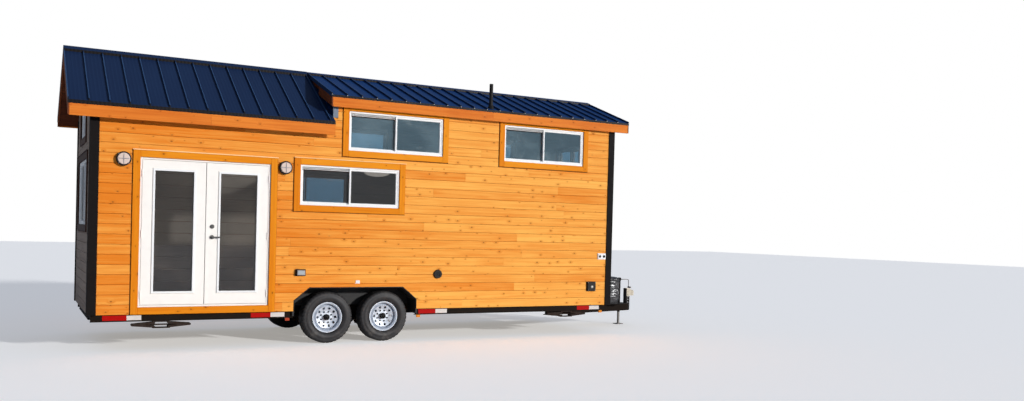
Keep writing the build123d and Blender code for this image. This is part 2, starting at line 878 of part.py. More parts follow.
# Sliding windows: a frame with two tracks, and in it two sashes that overlap at the meeting stile
with BuildPart() as window_frames:
    for plane_of, side, mid, sill, width, height in windows:
        middle = sill + height / 2
        sash_height = height - 2 * window_frame_face
        with BuildSketch(plane_of(side, window_frame_proud)):
            with Locations((mid, middle)):
                Rectangle(width, height)
                Rectangle(width - 2 * window_frame_face, sash_height, mode=Mode.SUBTRACT)
        extrude(amount=-window_frame_depth)
        for sash_mid, sash_width, back in sash_places(mid, width):
            face = glass_middle_proud - back + sash_depth / 2
            with BuildSketch(plane_of(side, face)):
                with Locations((sash_mid, middle)):
                    Rectangle(sash_width, sash_height)
                    Rectangle(sash_width - 2 * sash_face, sash_height - 2 * sash_face, mode=Mode.SUBTRACT)
            extrude(amount=-sash_depth)
window_frames.part.label = "window_frames"
export_step(window_frames.part, "parts/window_frames.step")

with BuildPart() as window_glass:
    for plane_of, side, mid, sill, width, height in windows:
        for sash_mid, sash_width, back in sash_places(mid, width):
            face = glass_middle_proud - back + window_glass_thickness / 2
            with BuildSketch(plane_of(side, face)):
                with Locations((sash_mid, sill + height / 2)):
                    Rectangle(sash_width - 2 * sash_face, height - 2 * window_frame_face - 2 * sash_face)
            extrude(amount=-window_glass_thickness)
window_glass.part.label = "window_glass"
export_step(window_glass.part, "parts/window_glass.step")


def casing_boards(mid, sill, width, height):
    """Draw the four casing boards round an opening on the plane of the current sketch."""
    leg = height + 2 * casing_width
    for hand in (-1, 1):
        with Locations((mid + hand * (width + casing_width) / 2, sill + height / 2)):
            Rectangle(casing_width, leg)
        with Locations((mid, sill + height / 2 + hand * (height + casing_width) / 2)):
            Rectangle(width - 2 * casing_joint, casing_width)


door_middle = (x_door_left + x_door_right) / 2
door_width = x_door_right - x_door_left
with BuildPart() as casings:
    for plane_of, side, mid, sill, width, height in windows:
        with BuildSketch(plane_of(side)):
            casing_boards(mid, sill, width, height)
        extrude(amount=casing_proud)
    with BuildSketch(wall_plane(-1)):
        leg = door_top + casing_width - door_casing_bottom
        leg_shift = (door_width + casing_width) / 2
        for x_leg in (door_middle - leg_shift, door_middle + leg_shift):
            with Locations((x_leg, door_casing_bottom + leg / 2)):
                Rectangle(casing_width, leg)
        with Locations((door_middle, door_top + casing_width / 2)):
            Rectangle(door_width - 2 * casing_joint, casing_width)
    extrude(amount=casing_proud)
casings.part.label = "casings"
export_step(casings.part, "parts/casings.step")

# Door frame with its sill
with BuildPart() as door_frame:
    with BuildSketch(wall_plane(-1, frame_proud)):
        with Locations((door_middle, floor_top)):
            Rectangle(door_width, door_height, align=(Align.CENTER, Align.MIN))
        with Locations((door_middle, floor_top + sill_height)):
            Rectangle(
                door_width - 2 * frame_face,
                door_height - sill_height - frame_face,
                align=(Align.CENTER, Align.MIN),
                mode=Mode.SUBTRACT,
            )
    extrude(amount=-(wall_thickness + frame_proud))
    with BuildSketch(wall_plane(-1, leaf_proud - leaf_thickness - leaf_gap)):
        with Locations((door_middle, floor_top + sill_height)):
            Rectangle(
                door_width - 2 * frame_face,
                door_height - sill_height - frame_face,
                align=(Align.CENTER, Align.MIN),
            )
            Rectangle(
                door_width - 2 * stop_width,
                door_height - sill_height - stop_width,
                align=(Align.CENTER, Align.MIN),
                mode=Mode.SUBTRACT,
            )
    extrude(amount=-(wall_thickness + leaf_proud - leaf_thickness - leaf_gap))
door_frame.part.label = "door_frame"
export_step(door_frame.part, "parts/door_frame.step")

leaf_bottom = floor_top + sill_height + leaf_gap
leaf_top = door_top - frame_face - leaf_gap
leaf_height = leaf_top - leaf_bottom
glass_height = door_height - glass_above_floor - glass_below_head
glass_middle = floor_top + glass_above_floor + glass_height / 2
hinge_low = floor_top + hinge_above_floor
hinge_high = door_top - hinge_below_head
hinge_heights = [hinge_low, (hinge_low + hinge_high) / 2, hinge_high]
x_jamb_left = x_door_left + frame_face
x_jamb_right = x_door_right - frame_face
x_leaf_left = x_jamb_left + leaf_gap + leaf_width / 2
x_leaf_right = x_jamb_right - leaf_gap - leaf_width / 2


def door_leaf(x_mid):
    """Build a glazed door leaf with raised mouldings round its glass on both faces."""
    with BuildSketch(wall_plane(-1, leaf_proud)) as slab:
        with Locations((x_mid, leaf_bottom + leaf_height / 2)):
            Rectangle(leaf_width, leaf_height)
    extrude(slab.sketch, amount=-leaf_thickness)
    with BuildSketch(wall_plane(-1, leaf_proud + lite_proud)) as mouldings:
        with Locations((x_mid, glass_middle)):
            Rectangle(glass_width + 2 * lite_moulding, glass_height + 2 * lite_moulding)
    extrude(mouldings.sketch, amount=-(leaf_thickness + 2 * lite_proud))
    with BuildSketch(wall_plane(-1, leaf_proud + lite_proud)) as lite:
        with Locations((x_mid, glass_middle)):
            Rectangle(glass_width, glass_height)
    extrude(lite.sketch, amount=-(leaf_thickness + 2 * lite_proud), mode=Mode.SUBTRACT)
    edge_layers = edges().group_by(Axis.Y)
    chamfer(edge_layers[0] + edge_layers[-1], lite_chamfer)


with BuildPart() as door_leaf_left:
    door_leaf(x_leaf_left)
door_leaf_left.part.label = "door_leaf_left"
export_step(door_leaf_left.part, "parts/door_leaf_left.step")

x_lever = x_leaf_right - leaf_width / 2 + lever_backset
z_lever = floor_top + lever_height
with BuildPart() as door_leaf_right:
    door_leaf(x_leaf_right)
    with BuildSketch(wall_plane(-1, leaf_proud + astragal_proud)):
        with Locations((x_leaf_right - (leaf_width + astragal_width) / 2, leaf_bottom + leaf_height / 2)):
            Rectangle(astragal_width, leaf_height)
    extrude(amount=-(leaf_thickness + astragal_proud))
    with BuildSketch(wall_plane(-1, leaf_proud)):
        with Locations((x_lever, z_lever)):
            Circle(lever_spindle_diameter / 2 + lever_clearance)
    extrude(amount=-leaf_thickness, mode=Mode.SUBTRACT)
door_leaf_right.part.label = "door_leaf_right"
export_step(door_leaf_right.part, "parts/door_leaf_right.step")

for name, x_mid in (("door_glass_left", x_leaf_left), ("door_glass_right", x_leaf_right)):
    with BuildPart() as door_glass:
        with BuildSketch(wall_plane(-1, leaf_proud - (leaf_thickness - glass_thickness) / 2)):
            with Locations((x_mid, glass_middle)):
                Rectangle(glass_width, glass_height)
        extrude(amount=-glass_thickness)
    door_glass.part.label = name
    export_step(door_glass.part, "parts/" + name + ".step")

# Hinges: pins proud of the door's face, so that the leaves swing right round outwards
y_pin = -(y_wall + frame_proud + hinge_knuckle_diameter / 2)
x_pin_left = x_jamb_left + leaf_gap / 2
x_pin_right = x_jamb_right - leaf_gap / 2
knuckle_length = (hinge_height - 4 * knuckle_gap) / 5
pins = ((x_pin_left, -1), (x_pin_right, 1))

with BuildPart() as door_hinges:
    for x_pin, hand in pins:
        for z_mid in hinge_heights:
            bottom = z_mid - hinge_height / 2
            with BuildSketch(Plane.XY.offset(bottom)):
                with Locations((x_pin, y_pin)):
                    Circle(hinge_pin_diameter / 2)
            extrude(amount=hinge_height)
            for i in (0, 2, 4):
                with BuildSketch(Plane.XY.offset(bottom + i * (knuckle_length + knuckle_gap))):
                    with Locations((x_pin, y_pin)):
                        Circle(hinge_knuckle_diameter / 2)
                    plate = frame_face + leaf_gap / 2 - casing_joint
                    y_plate = -(y_wall + frame_proud + hinge_plate_thickness / 2)
                    with Locations((x_pin + hand * plate / 2, y_plate)):
                        Rectangle(plate, hinge_plate_thickness)
                extrude(amount=knuckle_length)
door_hinges.part.label = "door_hinges"
export_step(door_hinges.part, "parts/door_hinges.step")

for name, x_pin, hand in (("leaf_hinges_left", x_pin_left, 1), ("leaf_hinges_right", x_pin_right, -1)):
    with BuildPart() as leaf_hinges:
        for z_mid in hinge_heights:
            bottom = z_mid - hinge_height / 2
            for i in (1, 3):
                with BuildSketch(Plane.XY.offset(bottom + i * (knuckle_length + knuckle_gap))):
                    with Locations((x_pin, y_pin)):
                        Circle(hinge_knuckle_diameter / 2)
                    y_plate = -(y_wall + leaf_proud + hinge_plate_thickness / 2)
                    with Locations((x_pin + hand * hinge_plate_width / 2, y_plate)):
                        Rectangle(hinge_plate_width, hinge_plate_thickness)
                    with Locations((x_pin, y_pin)):
                        Circle(hinge_pin_diameter / 2 + hinge_pin_clearance, mode=Mode.SUBTRACT)
                extrude(amount=knuckle_length)
    leaf_hinges.part.label = name
    export_step(leaf_hinges.part, "parts/" + name + ".step")

# Lock roses and dead bolts on both faces of the right leaf
with BuildPart() as lock_plates:
    for proud, direction in ((leaf_proud, 1), (leaf_proud - leaf_thickness, -1)):
        with BuildSketch(wall_plane(-1, proud)):
            with Locations((x_lever, z_lever), (x_lever, z_lever + deadbolt_rise)):
                Circle(rose_diameter / 2)
            with Locations((x_lever, z_lever)):
                Circle(lever_spindle_diameter / 2 + lever_clearance, mode=Mode.SUBTRACT)
        extrude(amount=direction * rose_thickness)
        with BuildSketch(wall_plane(-1, proud + direction * rose_thickness)):
            with Locations((x_lever, z_lever + deadbolt_rise)):
                Circle(lock_collar_diameter / 2)
        extrude(amount=direction * rose_thickness)
lock_plates.part.label = "lock_plates"
export_step(lock_plates.part, "parts/lock_plates.step")

with BuildPart() as door_lever:
    with BuildSketch(wall_plane(-1, leaf_proud + lever_reach)):
        with Locations((x_lever, z_lever)):
            Circle(lever_spindle_diameter / 2)
    extrude(amount=-(leaf_thickness + 2 * lever_reach))
    for proud, direction in ((leaf_proud + lever_reach, 1), (leaf_proud - leaf_thickness - lever_reach, -1)):
        with BuildSketch(wall_plane(-1, proud)):
            with Locations((x_lever + lever_length / 2 - lever_bar / 2, z_lever)):
                SlotOverall(lever_length, lever_bar)
        extrude(amount=-direction * lever_thickness)
door_lever.part.label = "door_lever"
export_step(door_lever.part, "parts/door_lever.step")


def wheel_plane(x, side):
    """Plane through a wheel's axis: its own x is radial and its own y points outwards."""
    return Plane(origin=(x, side * y_wheel, axle_height), x_dir=(1, 0, 0), z_dir=(0, 0, side))


def disc_plane(x, side, out=0.0):
    """Plane across a wheel's axis, out from its middle, facing outwards."""
    return Plane(origin=(x, side * (y_wheel + out), axle_height), x_dir=(1, 0, 0), z_dir=(0, side, 0))


tyre_radius = tyre_diameter / 2
rim_radius = rim_diameter / 2
bead_radius = rim_radius - rim_flange_height
tyre_bore = bead_radius + seat_gap
half_tyre = tyre_width / 2
half_tread = tread_width / 2
half_rim = rim_width / 2
well_radius = bead_radius - disc_thickness
drum_radius = drum_diameter / 2
drum_back = -disc_out - drum_depth
hub_radius = hub_cap_diameter / 2
hub_bore_end = hub_bore_depth - drum_depth - disc_out
ring_radius = (vent_circle + vent_hole_diameter) / 2 + rim_lip
flat_radius = vent_circle / 2 - disc_flat_width
wheel_names = {(0, -1): "front_left", (1, -1): "front_right", (0, 1): "back_left", (1, 1): "back_right"}
for (index, side), name in wheel_names.items():
    x = x_axles[index]
    spin_axis = Axis((x, 0, axle_height), (0, 1, 0))
    # Each tyre: beads on the rim, bulging sidewalls and rounded shoulders
    with BuildPart() as tyre:
        with BuildSketch(wheel_plane(x, side)):
            with BuildLine():
                bead = Line((tyre_bore, 0), (tyre_bore, half_rim - rim_flange_width))
                seat = Line(bead @ 1, (rim_radius + rim_lip, half_rim - rim_lip))
                sidewall = ThreePointArc(
                    seat @ 1,
                    ((rim_radius + tyre_radius) / 2, half_tyre),
                    (tyre_radius - 2 * shoulder_drop, half_tyre - shoulder_drop / 3),
                )
                shoulder = ThreePointArc(
                    sidewall @ 1,
                    (tyre_radius - shoulder_drop / 2, (half_tyre + half_tread) / 2 + shoulder_drop / 4),
                    (tyre_radius, half_tread),
                )
                Line(shoulder @ 1, (tyre_radius, 0))
                mirror(about=Plane.XZ)
            make_face()
        revolve(axis=spin_axis)
    tyre.part.label = "tyre_" + name
    export_step(tyre.part, "parts/tyre_" + name + ".step")

    # Each wheel: drum and hub, a dished disc with vent holes, and a rim with a flange at each edge
    with BuildPart() as wheel:
        with BuildSketch(wheel_plane(x, side)):
            with BuildLine():
                Polyline(
                    (hub_bore_diameter / 2, drum_back),
                    (drum_radius, drum_back),
                    (drum_radius, -disc_out),
                    (flat_radius, disc_out),
                    (ring_radius, disc_out + disc_dish),
                    (well_radius, 0),
                    (well_radius, rim_flange_width - half_rim),
                    (rim_radius - rim_lip, -half_rim),
                    (rim_radius, -half_rim),
                    (bead_radius, rim_flange_width - half_rim),
                    (bead_radius, half_rim - rim_flange_width),
                    (rim_radius, half_rim),
                    (rim_radius - rim_lip, half_rim),
                    (well_radius, half_rim - rim_flange_width),
                    (well_radius, disc_thickness),
                    (ring_radius, disc_out + disc_dish + disc_thickness),
                    (flat_radius, disc_out + disc_thickness),
                    (hub_radius, disc_out + disc_thickness),
                    (hub_radius, disc_out + hub_cap_proud - hub_cap_chamfer),
                    (hub_radius - hub_cap_chamfer, disc_out + hub_cap_proud),
                    (0, disc_out + hub_cap_proud),
                    (0, hub_bore_end),
                    (hub_bore_diameter / 2, hub_bore_end),
                    close=True,
                )
            make_face()
        revolve(axis=spin_axis)
        with BuildSketch(disc_plane(x, side, disc_out + disc_dish + 2 * disc_thickness)):
            with PolarLocations(vent_circle / 2, vent_hole_count):
                Circle(vent_hole_diameter / 2)
        extrude(amount=-disc_out - disc_dish, mode=Mode.SUBTRACT)
    wheel.part.label = "wheel_" + name
    export_step(wheel.part, "parts/wheel_" + name + ".step")

# Drop axles: a tube with bent-up ends that carry the backing plates and spindles
y_drum = y_wheel + drum_back
y_backing = y_drum - drum_clearance - backing_plate
y_bore_end = y_wheel + hub_bore_end
beam_height = axle_height - axle_drop
beam_radius = axle_beam_diameter / 2
pad_bottom = beam_height - beam_radius - spring_pad
with BuildPart() as axles:
    for x in x_axles:
        with BuildLine() as axle_path:
            FilletPolyline(
                (x, -y_backing, axle_height),
                (x, -axle_bend_end, axle_height),
                (x, -axle_bend_start, beam_height),
                (x, axle_bend_start, beam_height),
                (x, axle_bend_end, axle_height),
                (x, y_backing, axle_height),
                radius=axle_bend_radius,
            )
        with BuildSketch(Plane(origin=(x, -y_backing, axle_height), z_dir=(0, 1, 0))):
            Circle(beam_radius)
        sweep(path=axle_path.line)
        for side in (-1, 1):
            with BuildSketch(disc_plane(x, side, y_backing - y_wheel)):
                Circle(drum_radius)
            extrude(amount=backing_plate)
            with BuildSketch(disc_plane(x, side, y_backing - y_wheel)):
                Circle(spindle_diameter / 2)
            extrude(amount=y_bore_end - drum_clearance - y_backing)
            with BuildSketch(Plane.XY.offset(pad_bottom)):
                with Locations((x, side * y_main)):
                    Rectangle(spring_seat_length, spring_width)
            extrude(amount=spring_pad + beam_radius / 2)
axles.part.label = "axles"
export_step(axles.part, "parts/axles.step")

# Leaf springs under the axles: stacked leaves, the longest with rolled eyes, clamped by U-bolts
bolt_radius = spring_bolt_diameter / 2
eye_inner = bolt_radius + bolt_clearance
eye_outer = eye_inner + spring_leaf_thickness
half_spring = spring_length / 2
half_seat = spring_seat_length / 2
main_leaf = pad_bottom - spring_leaf_thickness / 2
eye_offset = eye_outer - spring_leaf_thickness / 2
arc_reach = half_spring - half_seat
arc_rise = eye_height - main_leaf - eye_offset
eye_arc_radius = (arc_reach**2 + arc_rise**2) / (2 * arc_rise)
main_arc_radius = eye_arc_radius + eye_offset
main_arc_angle = math.degrees(math.asin(arc_reach / eye_arc_radius))
pack_bottom = pad_bottom - len(leaf_shares) * spring_leaf_thickness
u_bolt_radius = u_bolt_diameter / 2
u_bolt_bend = beam_radius + u_bolt_radius + bolt_clearance
u_bolt_y = spring_width / 2 + u_bolt_radius + bolt_clearance
u_bolt_end = pack_bottom - seat_gap - tie_plate - nut_height - u_bolt_diameter / 2
with BuildPart() as leaf_springs:
    for x in x_axles:
        for side in (-1, 1):
            for i, share in enumerate(leaf_shares):
                middle = main_leaf - i * spring_leaf_thickness
                radius = main_arc_radius + i * spring_leaf_thickness
                with BuildSketch(along(side * y_main - spring_width / 2)):
                    with BuildLine():
                        seat = Line((x - half_seat, middle), (x + half_seat, middle))
                        JernArc(seat @ 1, (1, 0), radius, share * main_arc_angle)
                        JernArc(seat @ 0, (-1, 0), radius, -share * main_arc_angle)
                    trace(line_width=spring_leaf_thickness)
                extrude(amount=-spring_width)
            with BuildSketch(along(side * y_main - spring_width / 2)):
                with Locations((x - half_spring, eye_height), (x + half_spring, eye_height)):
                    Circle(eye_outer)
            extrude(amount=-spring_width)
            with BuildSketch(along(side * y_main - spring_width / 2)):
                with Locations((x - half_spring, eye_height), (x + half_spring, eye_height)):
                    Circle(eye_inner)
            extrude(amount=-spring_width, mode=Mode.SUBTRACT)
            with BuildSketch(Plane.XY.offset(pack_bottom - seat_gap)):
                with Locations((x, side * y_main)):
                    Rectangle(tie_plate_length, spring_width + 4 * u_bolt_diameter)
            extrude(amount=-tie_plate)
            for hand in (-1, 1):
                y_bolt = side * y_main + hand * u_bolt_y
                with BuildLine() as bolt_path:
                    leg = Line((x - u_bolt_bend, y_bolt, u_bolt_end), (x - u_bolt_bend, y_bolt, beam_height))
                    bend = ThreePointArc(
                        leg @ 1,
                        (x, y_bolt, beam_height + u_bolt_bend),
                        (x + u_bolt_bend, y_bolt, beam_height),
                    )
                    Line(bend @ 1, (x + u_bolt_bend, y_bolt, u_bolt_end))
                with BuildSketch(Plane.XY.offset(u_bolt_end)):
                    with Locations((x - u_bolt_bend, y_bolt)):
                        Circle(u_bolt_radius)
                sweep(path=bolt_path.line)
                with BuildSketch(Plane.XY.offset(pack_bottom - seat_gap - tie_plate)):
                    with Locations((x - u_bolt_bend, y_bolt), (x + u_bolt_bend, y_bolt)):
                        RegularPolygon(nut_width / 2, 6)
                extrude(amount=-nut_height)
leaf_springs.part.label = "leaf_springs"
export_step(leaf_springs.part, "parts/leaf_springs.step")

# Spring hangers: fixed at the front, an equalizer between the springs and a shackle at the back
x_front_eye = x_axles[1] + half_spring
x_rear_eye = x_axles[0] - half_spring
x_equalizer = (x_axles[0] + x_axles[1]) / 2
link_height = eye_height + shackle_rise
pivot_height = link_height + equalizer_rise
half_width = spring_width / 2
shackles = (
    (x_rear_eye, x_rear_eye - shackle_shift),
    (x_axles[0] + half_spring, x_axles[0] + half_spring + shackle_shift),
    (x_axles[1] - half_spring, x_axles[1] - half_spring - shackle_shift),
)


def hanger_ears(x, z, y_middle, inner):
    """Build two hanger plates under a main rail, inner apart, with a round end at (x, z)."""
    for hand in (-1, 1):
        with BuildSketch(along(y_middle + hand * inner / 2)) as ear:
            with BuildLine():
                Polyline(
                    (x - hanger_top_length / 2, rail_bottom),
                    (x + hanger_top_length / 2, rail_bottom),
                    (x + hanger_bottom_radius, z),
                    (x - hanger_bottom_radius, z),
                    close=True,
                )
            make_face()
            with Locations((x, z)):
                Circle(hanger_bottom_radius)
        extrude(ear.sketch, amount=-hand * hanger_plate)


def cross_bolt(x, z, y_middle, length, radius):
    """Build a round bolt across the house, centred on y_middle."""
    with BuildSketch(along(y_middle - length / 2)) as shank:
        with Locations((x, z)):
            Circle(radius)
    extrude(shank.sketch, amount=-length)


with BuildPart() as spring_hangers:
    for side in (-1, 1):
        y_middle = side * y_main
        ears_inner = spring_width + 2 * seat_gap
        bolt_length = ears_inner + 2 * hanger_plate + spring_bolt_diameter
        for x, z in ((x_front_eye, eye_height), (x_equalizer, pivot_height)):
            hanger_ears(x, z, y_middle, ears_inner)
            cross_bolt(x, z, y_middle, bolt_length, bolt_radius)
        # The rear hanger is as wide as the spring, so that the shackle straps pass outside it
        x_link = shackles[0][1]
        hanger_ears(x_link, link_height, y_middle, spring_width - 2 * hanger_plate)
        with BuildSketch(along(y_middle - half_width)):
            with Locations((x_link, link_height)):
                Circle(eye_inner)
        extrude(amount=-spring_width, mode=Mode.SUBTRACT)
        # Equalizer rocker on its centre bolt
        with BuildSketch(along(y_middle - half_width)):
            with Locations((x_equalizer, pivot_height)):
                Circle(equalizer_boss_radius)
            for x_eye, x_end in shackles[1:]:
                centre = ((x_equalizer + x_end) / 2, (pivot_height + link_height) / 2)
                SlotCenterPoint(centre, (x_end, link_height), shackle_width)
            with Locations((x_equalizer, pivot_height)):
                Circle(eye_inner, mode=Mode.SUBTRACT)
            with Locations(*[(x_end, link_height) for x_eye, x_end in shackles[1:]]):
                Circle(eye_inner, mode=Mode.SUBTRACT)
        extrude(amount=-spring_width)
        # Shackles: two straps with a bolt through the eye and one through the hanger or rocker
        for x_eye, x_end in shackles:
            for hand in (-1, 1):
                with BuildSketch(along(y_middle + hand * (half_width + seat_gap))):
                    centre = ((x_eye + x_end) / 2, (eye_height + link_height) / 2)
                    SlotCenterPoint(centre, (x_end, link_height), shackle_width)
                extrude(amount=-hand * shackle_plate)
            length = spring_width + 2 * (seat_gap + shackle_plate) + spring_bolt_diameter
            cross_bolt(x_eye, eye_height, y_middle, length, bolt_radius)
            cross_bolt(x_end, link_height, y_middle, length, bolt_radius)
spring_hangers.part.label = "spring_hangers"
export_step(spring_hangers.part, "parts/spring_hangers.step")

# Tongue: two channel rails that run in from under the house to the nose plate
tongue_top = rail_bottom
tongue_bottom = tongue_top - tongue_depth
x_tongue_back = x_right - tongue_overlap
x_tongue_tip = x_tip - tongue_end_inset


def tongue_outline(side, outer, inner):
    """Plan of a tongue rail between two distances in from its outer face."""
    return [
        (x_tongue_back, side * (tongue_spread / 2 - outer)),
        (x_tongue_tip, side * (tongue_tip_spread / 2 - outer)),
        (x_tongue_tip, side * (tongue_tip_spread / 2 - inner)),
        (x_tongue_back, side * (tongue_spread / 2 - inner)),
    ]


with BuildPart() as tongue_rails:
    for side in (-1, 1):
        with BuildSketch(Plane.XY.offset(tongue_bottom)):
            with BuildLine():
                Polyline(tongue_outline(side, 0, tongue_width), close=True)
            make_face()
        extrude(amount=tongue_depth)
        with BuildSketch(Plane.XY.offset(tongue_bottom + tongue_wall)):
            with BuildLine():
                Polyline(tongue_outline(side, tongue_wall, tongue_width), close=True)
            make_face()
        extrude(amount=tongue_depth - 2 * tongue_wall, mode=Mode.SUBTRACT)
tongue_rails.part.label = "tongue_rails"
export_step(tongue_rails.part, "parts/tongue_rails.step")

# Coupler: socket in a riser with a row of holes, on the nose plate, and a plate for the jack
x_jack = x_tip - jack_from_tip
x_ball = x_tip - coupler_nose
x_riser = x_tongue_tip + nose_plate
half_riser = riser_width / 2
half_coupler = half_riser - riser_wall - seat_gap
riser_holes = [tongue_bottom + riser_hole_pitch * (i + 1) for i in range(riser_hole_count)]
coupler_bottom = riser_holes[-2] - coupler_bolt_margin
coupler_height = riser_hole_pitch + 2 * coupler_bolt_margin
x_bolts = x_riser + riser_length / 2
with BuildPart() as coupler:
    with BuildSketch(Plane.XY.offset(coupler_bottom)):
        with Locations(((x_riser + x_ball) / 2, 0)):
            Rectangle(x_ball - x_riser, 2 * half_coupler)
        with Locations((x_ball, 0)):
            Circle(coupler_nose)
    extrude(amount=coupler_height)
    fillet(faces().sort_by(Axis.Z)[-1].edges(), coupler_fillet)
    with BuildSketch(Plane.XY.offset(coupler_bottom)):
        with Locations((x_ball, 0)):
            Circle(ball_diameter / 2)
    extrude(amount=socket_depth, mode=Mode.SUBTRACT)
    with BuildSketch(Plane.XY.offset(coupler_bottom + coupler_height)):
        with Locations((x_ball - coupler_latch_length / 2, 0)):
            SlotOverall(coupler_latch_length, coupler_latch_width)
    extrude(amount=coupler_latch_height)
    with BuildSketch(Plane.YZ.offset(x_tongue_tip)):
        with Locations((0, tongue_bottom)):
            Rectangle(tongue_tip_spread, tongue_depth + jack_plate, align=(Align.CENTER, Align.MIN))
            Rectangle(riser_width, riser_top - tongue_bottom, align=(Align.CENTER, Align.MIN))
    extrude(amount=nose_plate)
    with BuildSketch(Plane.XY.offset(tongue_bottom)):
        for side in (-1, 1):
            with Locations((x_bolts, side * (half_riser - riser_wall / 2))):
                Rectangle(riser_length, riser_wall)
    extrude(amount=riser_top - tongue_bottom)
    for side in (-1, 1):
        with BuildSketch(along(side * (half_riser - riser_wall))):
            with Locations(*[(x_bolts, z) for z in riser_holes[:-2]]):
                Circle(riser_hole_diameter / 2)
        extrude(amount=-side * riser_wall, mode=Mode.SUBTRACT)
    for z in riser_holes[-2:]:
        cross_bolt(x_bolts, z, 0, riser_width, riser_hole_diameter / 2)
        cross_bolt(x_bolts, z, 0, riser_width + 2 * nut_height, nut_width / 2 + 2 * bolt_clearance)
    with BuildSketch(Plane.XY.offset(tongue_top)):
        with Locations((x_tongue_tip, 0)):
            Rectangle(jack_plate_length, tongue_tip_spread, align=(Align.MAX, Align.CENTER))
        with Locations((x_jack, 0)):
            Circle(jack_tube_diameter / 2, mode=Mode.SUBTRACT)
    extrude(amount=jack_plate)
coupler.part.label = "coupler"
export_step(coupler.part, "parts/coupler.step")

# Jack: a fixed tube with a gear head, its crank, and a leg that stands on the ground
crank_height = jack_tube_top + jack_head_height / 2
crank_start = jack_head_diameter / 2
with BuildPart() as jack_tube:
    with BuildSketch(Plane.XY.offset(jack_tube_top)):
        with Locations((x_jack, 0)):
            Circle(jack_head_diameter / 2)
    extrude(amount=jack_head_height)
    fillet(faces().sort_by(Axis.Z)[-1].edges(), coupler_fillet)
    with BuildSketch(Plane.XY.offset(jack_tube_bottom)):
        with Locations((x_jack, 0)):
            Circle(jack_tube_diameter / 2)
            Circle(jack_leg_diameter / 2 + jack_leg_clearance, mode=Mode.SUBTRACT)
    extrude(amount=jack_tube_top - jack_tube_bottom)
    with BuildSketch(along(-crank_start)):
        with Locations((x_jack, crank_height)):
            Circle(crank_rod_diameter)
    extrude(amount=-crank_start)
jack_tube.part.label = "jack_tube"
export_step(jack_tube.part, "parts/jack_tube.step")

with BuildPart() as jack_crank:
    with BuildLine() as crank_path:
        FilletPolyline(
            (x_jack, -crank_start, crank_height),
            (x_jack, -crank_start - crank_out, crank_height),
            (x_jack + crank_reach, -crank_start - crank_out, crank_height),
            (x_jack + crank_reach, -crank_start - crank_out, crank_height - crank_drop),
            radius=crank_bend_radius,
        )
    with BuildSketch(along(-crank_start)):
        with Locations((x_jack, crank_height)):
            Circle(crank_rod_diameter / 2)
    sweep(path=crank_path.line)
    with BuildSketch(along(-crank_start - crank_out + crank_grip_diameter / 2)):
        with Locations((x_jack + crank_reach, crank_height - crank_drop)):
            Circle(crank_grip_diameter / 2)
    extrude(amount=crank_grip_length)
    fillet(faces().sort_by(Axis.Y)[0].edges(), crank_rod_diameter / 2)
jack_crank.part.label = "jack_crank"
export_step(jack_crank.part, "parts/jack_crank.step")

with BuildPart() as jack_leg:
    with BuildSketch(Plane.XY):
        with Locations((x_jack, 0)):
            RectangleRounded(jack_foot_size, jack_foot_size, jack_foot_thickness)
    extrude(amount=jack_foot_thickness)
    with BuildSketch(Plane.XY.offset(jack_foot_thickness)):
        with Locations((x_jack, 0)):
            Circle(jack_leg_diameter / 2)
    extrude(amount=jack_tube_top - jack_foot_thickness - jack_travel - jack_headroom)
jack_leg.part.label = "jack_leg"
export_step(jack_leg.part, "parts/jack_leg.step")

x_locker = x_right + locker_start
with BuildPart() as gas_locker_tray:
    with BuildSketch(Plane.XY.offset(tongue_top)):
        with Locations((x_locker + locker_length / 2, 0)):
            Rectangle(locker_length, locker_width)
    extrude(amount=tray_thickness)
gas_locker_tray.part.label = "gas_locker_tray"
export_step(gas_locker_tray.part, "parts/gas_locker_tray.step")

with BuildPart() as gas_locker_cover:
    with BuildSketch(Plane.XY.offset(tongue_top + tray_thickness + seat_gap)):
        with Locations((x_locker + locker_length / 2, 0)):
            RectangleRounded(locker_length, locker_width, locker_corner)
    extrude(amount=locker_top - tongue_top - tray_thickness - seat_gap)
    fillet(faces().sort_by(Axis.Z)[-1].edges(), locker_top_fillet)
gas_locker_cover.part.label = "gas_locker_cover"
export_step(gas_locker_cover.part, "parts/gas_locker_cover.step")

# Round lamps beside the door: a black rim with a white lens
with BuildPart() as wall_lamps:
    for left in lamp_places:
        with BuildSketch(wall_plane(-1)):
            with Locations((x_left + left, lamp_height)):
                Circle(lamp_diameter / 2)
        extrude(amount=lamp_proud)
        front_edges = edges().group_by(Axis.Y)[0]
        chamfer(front_edges.sort_by_distance((x_left + left, -y_wall, lamp_height))[:1], lamp_chamfer)
        with BuildSketch(wall_plane(-1, lamp_back)):
            with Locations((x_left + left, lamp_height)):
                Circle(lens_diameter / 2)
        extrude(amount=lamp_proud, mode=Mode.SUBTRACT)
wall_lamps.part.label = "wall_lamps"
export_step(wall_lamps.part, "parts/wall_lamps.step")

with BuildPart() as wall_lamp_lenses:
    with BuildSketch(wall_plane(-1, lamp_back)):
        for left in lamp_places:
            with Locations((x_left + left, lamp_height)):
                Circle(lens_diameter / 2 - seat_gap)
    extrude(amount=lamp_proud - lamp_back + lens_proud)
    fillet(edges().group_by(Axis.Y)[0], lens_fillet)
wall_lamp_lenses.part.label = "wall_lamp_lenses"
export_step(wall_lamp_lenses.part, "parts/wall_lamp_lenses.step")

